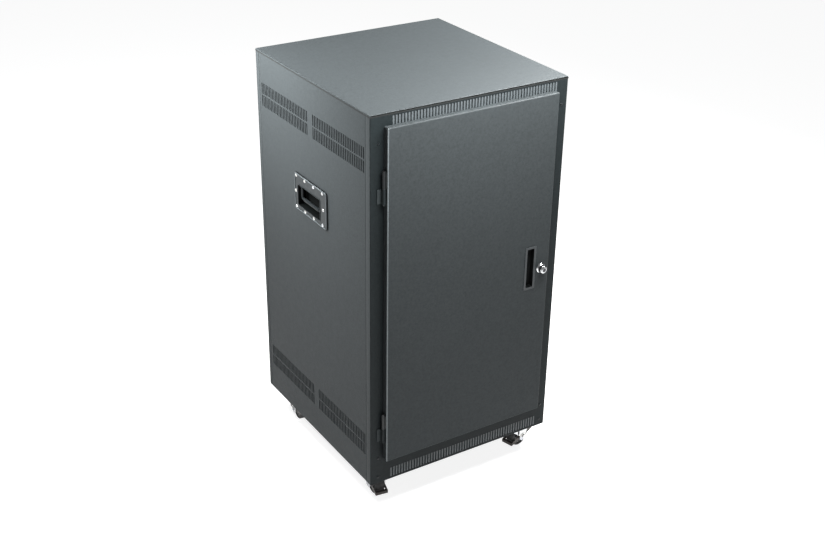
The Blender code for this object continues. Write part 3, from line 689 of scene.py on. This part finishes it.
def vent_filters(side_name, side):
    """A strip of grey filter cloth behind each side panel's upper and lower vents."""
    lo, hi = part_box(side_name + "_side_panel")
    outer = hi.x if side > 0 else lo.x
    x0, x1 = sorted(outer - side * (SHEET + gap) for gap in FILTER_FROM_SHEET)
    length = SIDE_SLOT_COUNT * SIDE_SLOT_PITCH
    y0 = FRONT_Y + SIDE_FIELDS_Y[0] - FILTER_LAP
    y1 = FRONT_Y + SIDE_FIELDS_Y[-1] + length + FILTER_LAP
    lap = 0.006
    strips = []
    for low_row, high_row in (SIDE_ROWS_Z[:2], SIDE_ROWS_Z[2:]):
        z0, z1 = FLOOR_Z + low_row[0] - lap, FLOOR_Z + sum(high_row) + lap
        strips.append(box((x0, y0, z0), (x1, y1, z1)))
    group(side_name + "_vent_filters", strips, "filter")


def door():
    """The door skin, with its windows for the flush pull and the lock."""
    lo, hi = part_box("door_panel")
    made = tray("door_skin", lo, hi, "+Y", "powder_black", SHEET, DOOR_BEND, 8)
    pull_lo, pull_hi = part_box("flush_pull")
    rim = PULL_RIM - SHEET - 0.0007
    window_lo = (pull_lo.x + rim, DOOR_FACE_Y - 0.004, pull_lo.z + rim)
    window_hi = (pull_hi.x - rim, DOOR_FACE_Y + 0.004, pull_hi.z - rim)
    combine(made, box(window_lo, window_hi))
    lock_lo, lock_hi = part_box("lock_body")
    centre = ((lock_lo.x + lock_hi.x) / 2, DOOR_FACE_Y, (lock_lo.z + lock_hi.z) / 2)
    combine(made, rod(0.0094, "Y", centre, -0.004, 0.004, 48))
    # The door's left front bend is painted pale: a painted highlight where light from the left
    # catches it.
    repaint(made, "painted_edge_highlight", lambda at, normal: normal.y < -0.15 and normal.x < -0.15)
    settle(keep_flat(made), "door", "door_panel")


# ---- fittings


def pan_screw(radius):
    """A pan head with a shallow round socket, as a turned profile."""
    return dome(radius, radius * 0.62, dimple=radius * 0.34)


def frame_screws():
    """Small dark screws in the front frame's edges and round the rear panel."""
    left, right = front_lo.x + 0.022, front_hi.x - 0.017
    spots = [(left, height) for height in (0.020, 0.078, 0.941)]
    spots += [(right, height) for height in (0.020, 0.068, 0.941)]
    heads = []
    for x, height in spots:
        spot = (x, FRONT_Y, FLOOR_Z + height)
        heads.append(head_at(pan_screw(0.0035), spot, (0.0, -1.0, 0.0)))
    group("front_frame_screws", heads, "screw_black")

    lo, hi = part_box("rear_panel")
    inset = 0.012
    heads = []
    for x in (lo.x + inset, 0.0, hi.x - inset):
        for z in (lo.z + inset, (lo.z + hi.z) / 2, hi.z - inset):
            if x or abs(z - (lo.z + hi.z) / 2) > inset:
                heads.append(head_at(pan_screw(0.004), (x, REAR_Y, z), (0.0, 1.0, 0.0)))
    group("rear_panel_screws", heads, "screw_black")


def bead(name, x, lo, hi, inset, corner, look):
    """A round bead just inside a rectangle in (y, z), or just outside where inset is negative."""
    y0, z0, y1, z1 = lo[0] + inset, lo[1] + inset, hi[0] - inset, hi[1] - inset
    corners = ((x, y0, z0), (x, y1, z0), (x, y1, z1), (x, y0, z1))
    route = filleted(corners, (corner,) * 4)
    settle(swept(name, route + route[:1], abs(inset), look), "cabinet")


def handle(side_name, side):
    """A pressed dish with its bowl painted near black as painted shade, a bead painted pale as a
    painted highlight, a black gasket whose rim round the plate is a painted shadow line, ten blind
    rivets and a drop grip.
    """
    node = side_name + "_handle_dish"
    lo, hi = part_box(node)
    face = hi.x if side > 0 else lo.x
    skin = face - side * DISH_FLANGE_T
    bottom = skin - side * (DISH_DEPTH + GAP)
    outline = rounded((lo.y, lo.z), (hi.y, hi.z), 0.008)
    made = piece(side_name + "_dish", prism(outline, "X", skin, face), "dish_plate")
    (y0, z0), (y1, z1) = dish_mouth(node)
    middle = (skin + face) / 2
    grown = rounded((y0 - SHEET, z0 - SHEET), (y1 + SHEET, z1 + SHEET), 0.006)
    combine(made, prism(grown, "X", middle, bottom - side * SHEET), "UNION")
    combine(made, prism(rounded((y0, z0), (y1, z1), 0.005), "X", face + side * 0.005, bottom))
    # Faces deeper than the plate are painted near black: painted shade in the recess.
    repaint(made, "painted_shade_black", lambda at, normal: abs(at.x) < abs(skin) - SHEET)
    settle(soften(made, 0.0007), "cabinet", node)

    bead(side_name + "_dish_lip", face, (y0, z0), (y1, z1), -0.0013, 0.006, "dish_plate")
    # The outer bead is painted pale: a painted highlight along the plate's edge.
    bead(side_name + "_dish_bead", face, (lo.y, lo.z), (hi.y, hi.z), 0.0016, 0.007, "painted_highlight")
    # A black gasket under the plate, showing round its edge as a painted shadow line.
    spread = 0.0016
    grown = rounded((lo.y - spread, lo.z - spread), (hi.y + spread, hi.z + spread), 0.0095)
    sheet = prism(grown, "X", skin, skin + side * 0.0012)
    gasket_shadow = piece(side_name + "_dish_gasket", sheet, "painted_shade_black")
    room = rounded((y0 - 0.004, z0 - 0.004), (y1 + 0.004, z1 + 0.004), 0.008)
    combine(gasket_shadow, prism(room, "X", skin - side * 0.005, skin + side * 0.005))
    settle(gasket_shadow, "cabinet")

    rivet = dome(RIVET_R, RIVET_H, dimple=0.0013)
    first, last, edge = lo.y + 0.021, hi.y - 0.009, 0.007
    spots = []
    for step in range(4):
        along = first + (last - first) * step / 3
        spots += [(along, lo.z + edge), (along, hi.z - edge)]
    spots += [(y, (lo.z + hi.z) / 2) for y in (lo.y + 0.017, hi.y - 0.006)]
    heads = [head_at(rivet, (face, y, z), (side, 0.0, 0.0), 24) for y, z in spots]
    group(side_name + "_dish_rivets", heads, "rivet")
    grip(side_name)


def grip(side_name):
    """The drop grip: a bent bar with a ribbed sleeve where the hand goes."""
    node = side_name + "_handle_grip"
    lo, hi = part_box(node)
    bar = (hi.x - lo.x) / 2
    x, low, top = lo.x + bar, lo.z + bar, hi.z - bar
    inset = 0.0072
    corners = [(x, lo.y, top), (x, lo.y + inset, top), (x, lo.y + inset, low)]
    corners += [(x, hi.y - inset, low), (x, hi.y - inset, top), (x, hi.y, top)]
    route = filleted(corners, (0.0, 0.004, 0.008, 0.008, 0.004, 0.0))
    body = side_name + "_grip"
    settle(swept(side_name + "_grip_bar", route, bar * 0.97, "moulded_black"), body, node)

    start, end = lo.y + 0.020, hi.y - 0.020
    ribs = 26
    profile = [(bar * 1.02, start)]
    for rib in range(ribs):
        at = start + (end - start) * (rib + 0.15) / ribs
        wide = (end - start) / ribs
        crest = bar * 1.32
        profile += [(bar * 1.20, at), (crest, at + wide * 0.25), (crest, at + wide * 0.55)]
    profile += [(bar * 1.20, end), (bar * 1.02, end)]
    sleeve = turned(profile, "Y", (x, 0.0, low), 28)
    settle(piece(side_name + "_grip_sleeve", sleeve, "moulded_black", 50), body)


def flush_pull():
    """The door's recessed cup, with its rim, and its inside painted near black as painted shade."""
    lo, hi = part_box("flush_pull")
    face = lo.y + PULL_RIM_T
    outline = rounded((lo.x, lo.z), (hi.x, hi.z), 0.004)
    made = piece("pull_cup", prism(outline, "Y", lo.y, face), "pull_rim")
    wall = PULL_RIM - SHEET
    cup_lo = (lo.x + wall, lo.y + PULL_RIM_T / 2, lo.z + wall)
    combine(made, box(cup_lo, (hi.x - wall, hi.y, hi.z - wall)), "UNION")
    mouth = rounded((lo.x + PULL_RIM, lo.z + PULL_RIM), (hi.x - PULL_RIM, hi.z - PULL_RIM), 0.002)
    combine(made, prism(mouth, "Y", lo.y - 0.005, face + PULL_DEPTH))
    # Faces inside the cup are painted near black: painted shade in the recess.
    repaint(made, "painted_shade_black", lambda at, normal: at.y > lo.y + PULL_RIM_T / 2)
    settle(soften(made, 0.0005), "door", "flush_pull")


def lock():
    """Chrome cam lock: a flanged barrel on the door and a plug with its keyway."""
    lo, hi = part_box("lock_body")
    centre = Vector(((lo.x + hi.x) / 2, DOOR_FACE_Y, (lo.z + hi.z) / 2))
    flange = (hi.z - lo.z) / 2
    front = lo.y - DOOR_FACE_Y
    back = hi.y - DOOR_FACE_Y
    barrel, bore, neck = 0.0100, 0.0063, 0.0090
    body = [(bore, front + 0.0014), (bore + 0.0008, front + 0.0003), (barrel - 0.0018, front)]
    body += [(barrel - 0.0007, front + 0.0005), (barrel, front + 0.0018), (barrel, -0.0062)]
    body += [(barrel + 0.0006, -0.0048), (flange - 0.0016, -0.0038), (flange - 0.0004, -0.0030)]
    body += [(flange, -0.0020), (flange, -GAP), (neck, -GAP), (neck, back), (bore, back)]
    made = piece("lock_barrel", turned(body, "Y", centre, 64, ring=True), "chrome", 50)
    settle(made, "door", "lock_body")

    lo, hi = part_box("lock_plug")
    head = (hi.z - lo.z) / 2
    tip = lo.y - DOOR_FACE_Y
    tail = hi.y - DOOR_FACE_Y
    shank, stub = 0.0060, 0.0045
    plug = [(0.0, tip + 0.0001), (head - 0.0022, tip), (head - 0.0009, tip + 0.0002)]
    plug += [(head, tip + 0.0009), (head, tip + 0.0016), (shank, tip + 0.0016)]
    plug += [(shank, tail - 0.0024), (stub, tail - 0.0024), (stub, tail), (0.0, tail)]
    made = piece("lock_plug_face", turned(plug, "Y", centre, 64), "chrome", 50)
    keyway_and_ward = (
        ((-0.0006, -0.0042), (0.0006, 0.0042), 0.009),
        ((0.0002, 0.0004), (0.0015, 0.0014), 0.006),
    )
    for (x0, z0), (x1, z1), depth in keyway_and_ward:
        low = (centre.x + x0, lo.y - 0.002, centre.z + z0)
        combine(made, box(low, (centre.x + x1, lo.y + depth, centre.z + z1)))
    core = head - 0.0024
    repaint(made, "pin_dark", lambda at, normal: math.hypot(at.x - centre.x, at.z - centre.z) < core)
    settle(made, "lock_cam", "lock_plug")


def hinge(level_name):
    """A pin hinge: two leaves with rounded knuckle ends, and a capped pin."""
    pin_lo, pin_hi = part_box(level_name + "_hinge_pin")
    axis = ((pin_lo.x + pin_hi.x) / 2, (pin_lo.y + pin_hi.y) / 2, 0.0)
    outer, bore, lip = 0.0045, 0.0023, 0.0007
    leaf, web = 0.002, 0.0012
    for part, look, body in (("frame", "frame_black", "cabinet"), ("door", "hinge_black", "door")):
        node = f"{level_name}_hinge_{part}_leaf"
        lo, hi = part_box(node)
        profile = [(bore, lo.z), (outer - lip, lo.z), (outer, lo.z + lip)]
        profile += [(outer, hi.z - lip), (outer - lip, hi.z), (bore, hi.z)]
        made = piece(f"{level_name}_hinge_{part}", turned(profile, "Z", axis, 40, ring=True), look)
        low, high = lo.z + leaf, hi.z - leaf
        if part == "frame":
            far = (axis[0] + web, hi.y, high)
            combine(made, box((lo.x, hi.y - leaf, low), far), "UNION")
            combine(made, box((axis[0] - web, axis[1] + 0.0030, low), far), "UNION")
        else:
            combine(made, box((hi.x - leaf, lo.y, low), (hi.x, hi.y, high)), "UNION")
        combine(made, rod(bore, "Z", axis, lo.z - 0.001, hi.z + 0.001, 40))
        settle(soften(made, 0.0003, 2, 50), body, node)

    low, high = pin_lo.z, pin_hi.z
    head, shank = (pin_hi.x - pin_lo.x) / 2, 0.0020
    profile = [(0.0, low), (shank * 0.7, low), (shank, low + 0.0006), (shank, high - 0.0028)]
    profile += [(head, high - 0.0028), (head, high - 0.0014), (head * 0.8, high - 0.0004)]
    profile += [(head * 0.4, high), (0.0, high)]
    made = piece(level_name + "_hinge_pin_cap", turned(profile, "Z", axis, 40), "pin_dark", 50)
    settle(made, "cabinet", level_name + "_hinge_pin")


# ---- casters


def joint(name):
    return next(entry for entry in frame["joints"] if entry["name"] == name)


class Caster:
    """One caster's own frame, read from its swivel and roll joints."""

    def __init__(self, name):
        self.name = name
        self.pivot = Vector(joint(name + "_swivel")["pos_m"])
        roll = joint(name + "_roll")
        across = Vector(roll["axis"]).normalized()
        along = Vector((0.0, 0.0, 1.0)).cross(across)
        turn = Matrix((across, along, Vector((0.0, 0.0, 1.0)))).transposed().to_4x4()
        self.place = Matrix.Translation(self.pivot) @ turn
        self.axle = self.place.inverted() @ Vector(roll["pos_m"])
        self.radius = roll["pos_m"][2]

    def put(self, part, bm, look, body, *nodes, smooth_deg=35):
        """Move a bmesh from the caster's frame into place, and ride it on body."""
        made = piece(f"{self.name}_{part}", moved(bm, self.place), look, smooth_deg)
        settle(made, f"{self.name}_{body}" if body else "cabinet", *nodes)


def hex_head(radius, height):
    """A chamfered hex head standing on Z = 0."""
    return turned(((radius, -0.0002), (radius, height * 0.8), (radius * 0.86, height)), facets=6)


def caster_top(caster):
    """Square plate, four bolts, ball race and kingpin."""
    half, lower = 0.032, -0.0025
    plate = prism(rounded((-half, -half), (half, half), 0.008), "Z", lower, -GAP)
    made = caster_square(caster, "top_plate", plate, "zinc")
    soften(made, 0.0004, 2)
    settle(made, "cabinet", caster.name + "_caster_plate")
    reach = 0.024
    bolts = []
    for x in (-reach, reach):
        for y in (-reach, reach):
            washer = turned(((0.0062, -0.0002), (0.0062, 0.0008), (0.0030, 0.0008)), facets=32)
            bolt = merged(washer, hex_head(0.0052, 0.0034))
            flip = Matrix.Translation((x, y, lower)) @ Matrix.Rotation(math.pi, 4, "X")
            bolts.append(moved(bolt, flip))
    made = caster_square(caster, "plate_bolts", merged(*bolts), "zinc")
    settle(made, "cabinet")
    crown = -CROWN_TOP - CROWN_T
    race = [(0.0, lower + 0.0002), (0.0220, lower + 0.0002), (0.0222, -0.0042)]
    race += [(0.0214, -0.0058), (0.0195, -0.0072), (0.0170, -0.0078), (0.0050, -0.0079)]
    race += [(0.0050, crown - 0.0008), (0.0085, crown - 0.0008), (0.0085, crown - 0.0020)]
    race += [(0.0065, crown - 0.0034), (0.0030, crown - 0.0040), (0.0, crown - 0.0041)]
    caster.put("race", turned(race), "zinc", "", smooth_deg=40)


def caster_square(caster, part, bm, look):
    """A piece that stays square to the cabinet over the swivel axis."""
    return piece(f"{caster.name}_{part}", moved(bm, Matrix.Translation(caster.pivot)), look)


def caster_fork(caster):
    """The pressed fork: crown, two wide legs with a slot, axle bosses and axle bolt."""
    axle_y, axle_z = caster.axle.y, caster.axle.z
    top, front, back = -CROWN_TOP, -0.024, axle_y + 0.024
    outline = [(front, top), (back - 0.006, top), (back - 0.0018, top - 0.0018)]
    outline += [(back, top - 0.006), (back, top - 0.022)]
    foot_r = 0.013
    for step in range(15):
        angle = math.radians(20 - step * 220 / 14)
        outline.append((axle_y + foot_r * math.cos(angle), axle_z + foot_r * math.sin(angle)))
    outline.append((front, top - 0.018))
    half, inner = FORK_HALF_W, FORK_HALF_W - FORK_LEG_T
    fork = piece(caster.name + "_fork", prism(outline, "X", -half, half), "zinc")
    past = 0.010
    lo = (-inner, front - past, axle_z - 0.030)
    combine(fork, box(lo, (inner, back + past, top - CROWN_T)))
    combine(fork, rod(0.0055, "Z", (0.0, 0.0, 0.0), top - past, top + past))
    combine(fork, rod(AXLE_BORE_R, "X", (0.0, axle_y, axle_z), -half - past, half + past))
    slot_y, slot_r = axle_y - 0.020, 0.0035
    hole_lo, hole_hi = (slot_y - slot_r, axle_z + 0.013), (slot_y + slot_r, axle_z + 0.026)
    hole = rounded(hole_lo, hole_hi, 0.0034)
    combine(fork, prism(hole, "X", -half - past, half + past))
    soften(fork, 0.0012)
    fork.data.transform(caster.place)
    settle(fork, caster.name + "_caster", caster.name + "_caster_fork")

    boss = ((0.0100, -GAP), (0.0100, 0.0006), (0.0086, 0.0012), (0.0045, 0.0012))
    for side in (-1, 1):
        turn = Matrix.Rotation(side * math.pi / 2, 4, "Y")
        place = Matrix.Translation((side * half, axle_y, axle_z)) @ turn
        part = "boss_left" if side < 0 else "boss_right"
        caster.put(part, moved(turned(boss, facets=36), place), "zinc", "caster", smooth_deg=40)

    head = moved(hex_head(0.0068, 0.0036), Matrix.Translation((0.0, 0.0, half)))
    nut = moved(hex_head(0.0068, 0.0036), Matrix.Rotation(math.pi, 4, "X"))
    nut = moved(nut, Matrix.Translation((0.0, 0.0, -half)))
    shank = turned(((0.0, -half), (0.0040, -half), (0.0040, half), (0.0, half)), facets=24)
    bolt = moved(merged(head, nut, shank), Matrix.Rotation(math.pi / 2, 4, "Y"))
    bolt = moved(bolt, Matrix.Translation((0.0, axle_y, axle_z)))
    caster.put("axle", bolt, "zinc", "caster", caster.name + "_axle_bolt")


def caster_wheel(caster):
    """A tyre with shouldered tread and bead line on a ribbed hub."""
    centre = (0.0, caster.axle.y, caster.axle.z)
    half, tread = 0.013, caster.radius
    seat = 0.0240
    profile = [(seat, -half + 0.002), (seat + 0.0015, -half + 0.0004), (seat + 0.003, -half + 0.0012)]
    profile += [(tread - 0.005, -half + 0.0002)]
    corner = 0.0042
    for end in (-1, 1):
        for step in range(6):
            angle = math.pi / 2 * step / 5
            angle = angle if end < 0 else math.pi / 2 - angle
            reach = tread - corner + corner * math.sin(angle)
            across = end * (half - corner + corner * math.cos(angle))
            profile.append((reach, across))
    profile += [(tread - 0.005, half - 0.0002), (seat + 0.003, half - 0.0012)]
    profile += [(seat + 0.0015, half - 0.0004), (seat, half - 0.002)]
    tyre = turned(profile, "X", centre, 72, ring=True)
    caster.put("tyre_skin", tyre, "rubber_black", "wheel", caster.name + "_tyre", smooth_deg=50)

    boss = half + 0.001
    profile = [(AXLE_BORE_R, -boss), (0.0082, -boss), (0.0090, -boss + 0.0008)]
    profile += [(0.0096, -half + 0.0050), (0.0105, -half + 0.0056), (0.0190, -half + 0.0056)]
    profile += [(0.0202, -half + 0.0048), (0.0212, -half + 0.0022), (seat - GAP, -half + 0.0018)]
    profile += [(radius, -across) for radius, across in reversed(profile)]
    wheel = [turned(profile, "X", centre, 72, ring=True)]
    for number in range(6):
        for end in (-1, 1):
            near, far = sorted((end * (half - 0.0060), end * (half - 0.0022)))
            rib = box((-0.0012, 0.0088, near), (0.0012, 0.0206, far))
            turn = Matrix.Rotation(math.pi / 3 * number, 4, "Z")
            wheel.append(moved(rib, Matrix.Translation(centre) @ TO_AXIS["X"] @ turn))
    caster.put("hub_skin", merged(*wheel), "hub_grey", "wheel", caster.name + "_hub")


def brake_pedal(caster):
    """The rocker: arms beside the wheel, a ribbed foot loop behind and a toe tab in front."""
    axle_y, axle_z = caster.axle.y, caster.axle.z
    inner, outer = 0.0158, 0.0178
    rear, lift = axle_y + 0.046, axle_z + 0.008
    toe_y, toe_z = axle_y - 0.043, axle_z - 0.017
    outline = [(rear, lift + 0.004), (axle_y, axle_z + 0.009), (toe_y, toe_z + 0.009)]
    outline += [(toe_y, toe_z), (axle_y - 0.006, axle_z - 0.010)]
    outline += [(axle_y + 0.006, axle_z - 0.009), (rear, lift - 0.004)]
    pedal = piece(caster.name + "_pedal", prism(outline, "X", -outer, outer), "pedal_black")
    lo = (-inner, toe_y + 0.006, axle_z - 0.05)
    combine(pedal, box(lo, (inner, rear - 0.006, axle_z + 0.05)))
    combine(pedal, rod(AXLE_BORE_R, "X", (0.0, axle_y, axle_z), -0.030, 0.030))
    soften(pedal, 0.0008)
    pedal.data.transform(caster.place)
    settle(pedal, caster.name + "_brake", caster.name + "_brake_pedal")

    ridges = []
    ridge_r = 0.0009
    for number in range(9):
        x = (number - 4) * 0.0040
        ridges.append(rod(ridge_r, "Y", (x, rear - 0.003, lift + 0.0042), -0.0028, 0.0028, 12))
        ridges.append(rod(ridge_r, "Y", (x, toe_y + 0.003, toe_z + 0.0087), -0.0026, 0.0030, 12))
    caster.put("pedal_ridges", merged(*ridges), "pedal_black", "brake")


# ---- inside


def rack_rail(place_name, side_name, side):
    """A folded rail with three square holes and a unit mark for each rack unit."""
    node = f"{place_name}_{side_name}_rack_rail"
    lo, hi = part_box(node)
    inner, outer = (hi.x, lo.x) if side < 0 else (lo.x, hi.x)
    inward = 1 if place_name == "front" else -1
    face, tip = (lo.y, hi.y) if inward > 0 else (hi.y, lo.y)
    bend = Vector((outer - side * RAIL_BEND, face + inward * RAIL_BEND))

    def arc(radius, steps):
        points = []
        for step in steps:
            angle = math.pi / 2 * step / 6
            across = side * radius * math.sin(angle)
            points.append((bend.x + across, bend.y - inward * radius * math.cos(angle)))
        return points

    outline = [(inner, face)] + arc(RAIL_BEND, range(7))
    outline += [(outer, tip), (outer - side * RAIL_SHEET, tip)]
    outline += arc(RAIL_BEND - RAIL_SHEET, range(6, -1, -1)) + [(inner, face + inward * RAIL_SHEET)]
    rail = piece(node + "_skin", prism(outline, "Z", lo.z, hi.z), "rail_black")
    half = HOLE_SIDE / 2
    column = side * HOLE_COLUMN_X
    holes = bmesh.new()
    for unit in range(RACK_UNITS):
        for offset in HOLE_OFFSETS:
            middle = lo.z + RAIL_MARGIN + unit * UNIT + offset
            low = (column - half, face - 2 * RAIL_SHEET, middle - half)
            box_into(holes, low, (column + half, face + 2 * RAIL_SHEET, middle + half))
    for unit in range(1, RACK_UNITS):
        height = lo.z + RAIL_MARGIN + unit * UNIT
        near, far = sorted((face - inward * 0.001, face + inward * 0.0003))
        low = (column - 0.0045, near, height - 0.0003)
        box_into(holes, low, (column + 0.0045, far, height + 0.0003))
    combine(rail, holes)
    settle(keep_flat(rail), "cabinet", node)


def channels():
    """The four depth bars, the door's stiffener and the base pan, with round bends."""
    for side_name, opens in (("left", "-X"), ("right", "+X")):
        for level_name in ("lower", "upper"):
            node = f"{level_name}_{side_name}_depth_bar"
            plain_tray(node + "_skin", node, opens, "powder_inner")
    plain_tray("door_channel", "door_stiffener", "+Y", "powder_inner", LID_SHEET, "door")
    lo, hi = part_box("base_pan")
    made = tray("floor_pan", lo, hi, "+Z", "powder_inner", PAN_SHEET, PAN_BEND)
    half, depth = CABLE_SLOT[0] / 2, CABLE_SLOT[1]
    near = REAR_Y - CABLE_SLOT_FROM_REAR
    outline = rounded((-half, near), (half, near + depth), 0.010)
    combine(made, prism(outline, "Z", FLOOR_Z - 0.005, FLOOR_Z + 0.005))
    settle(keep_flat(made), "cabinet", "base_pan")


def rail_bolts():
    """Hex bolts that hold each rail's web on the depth bars."""
    bolts = []
    for place_name in ("front", "rear"):
        for side_name, side in (("left", -1), ("right", 1)):
            lo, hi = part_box(f"{place_name}_{side_name}_rack_rail")
            web_x = (lo.x if side < 0 else hi.x) - side * 0.002
            y = (lo.y + hi.y) / 2 + (0.004 if place_name == "front" else -0.004)
            for level_name in ("lower", "upper"):
                bar_lo, bar_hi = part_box(f"{level_name}_{side_name}_depth_bar")
                spot = (web_x, y, (bar_lo.z + bar_hi.z) / 2)
                bolts.append(stood(hex_head(0.0058, 0.0036), spot, (-side, 0.0, 0.0)))
    group("rail_bolts", bolts, "zinc")


def finish_cad_nodes():
    """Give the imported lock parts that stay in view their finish."""
    for name in ("lock_nut", "lock_cam", "cam_screw"):
        frame["nodes"][name].material_slots[0].material = MATERIALS["zinc"]


# ---- stage


def floor():
    """A pale floor that gives off a little light, like a light table."""
    bm = bmesh.new()
    bmesh.ops.create_grid(bm, x_segments=1, y_segments=1, size=FLOOR_HALF_W)
    made = linked("floor", mesh_of(bm, "floor"))
    pale = Shader("pale floor", (0.35, 0.35, 0.35), 0.9)
    pale.set("Emission Color", (1.0, 1.0, 1.0, 1.0))
    pale.set("Specular IOR Level", 0.0)
    pale.set("Emission Strength", FLOOR_GLOW)
    made.data.materials.append(pale.material)


def softbox(name, place, aim, size, power, glossy=True):
    """A rectangular light from place to aim, with or without its own reflection."""
    data = bpy.data.lights.new(name, "AREA")
    data.shape = "RECTANGLE"
    data.size, data.size_y = size
    data.energy = power
    made = linked(name, data)
    made.location = place
    made.rotation_mode = "QUATERNION"
    made.rotation_quaternion = (Vector(aim) - Vector(place)).to_track_quat("-Z", "Y")
    made.visible_camera = False
    made.visible_glossy = glossy


def studio():
    """A dim pale world, a wide softbox overhead and three small ones round the top."""
    world = bpy.data.worlds.new("studio")
    bpy.context.scene.world = world
    world.use_nodes = True
    sky = world.node_tree.nodes["Background"]
    sky.inputs["Color"].default_value = (0.97, 0.99, 1.0, 1.0)
    sky.inputs["Strength"].default_value = SKY_STRENGTH
    softbox("overhead", (0.0, 0.2, 3.4), (0.0, 0.0, 1.1), (3.0, 3.0), 30.0)
    softbox("upper_left", (-0.66, 0.26, 1.24), (-0.28, 0.10, 0.96), (0.5, 0.4), 27.0, False)
    softbox("front_top", (0.06, -0.62, 1.50), (0.0, -0.29, 1.1), (0.9, 0.3), 32.0, False)
    softbox("right_top", (0.95, -0.05, 1.95), (0.15, -0.15, 1.1), (0.8, 0.6), 112.0)
    settings = bpy.context.scene.view_settings
    settings.view_transform = "Standard"
    settings.look = "None"


def camera():
    """The camera at its viewing angle on the middle of the body."""
    data = bpy.data.cameras.new("camera")
    data.sensor_width = SENSOR_MM
    data.lens = LENS_MM
    data.clip_start, data.clip_end = 0.05, 100.0
    made = linked("camera", data)
    turn = Matrix.Rotation(math.radians(VIEW_AZIMUTH), 4, "Z")
    turn @= Matrix.Rotation(math.radians(90.0 - VIEW_ELEVATION), 4, "X")
    turn @= Matrix.Rotation(math.radians(VIEW_ROLL), 4, "Z")
    middle = Matrix.Translation((0.0, (FRONT_Y + REAR_Y) / 2, (FLOOR_Z + LID_Z) / 2))
    made.matrix_world = middle @ turn @ Matrix.Translation((*VIEW_SLIDE, VIEW_DISTANCE))
    bpy.context.scene.camera = made


# ---- build


camera()
studio()
floor()
lid()
front_frame()
rear_frame()
door()
flush_pull()
lock()
frame_screws()
channels()
rail_bolts()
finish_cad_nodes()
for level_name in ("lower", "upper"):
    hinge(level_name)
for side_name, side in (("left", -1), ("right", 1)):
    side_panel(side_name, side)
    vent_filters(side_name, side)
    for place_name in ("front", "rear"):
        rack_rail(place_name, side_name, side)
    handle(side_name, side)
for caster_name in CASTERS:
    one = Caster(caster_name)
    caster_top(one)
    caster_fork(one)
    caster_wheel(one)
    brake_pedal(one)
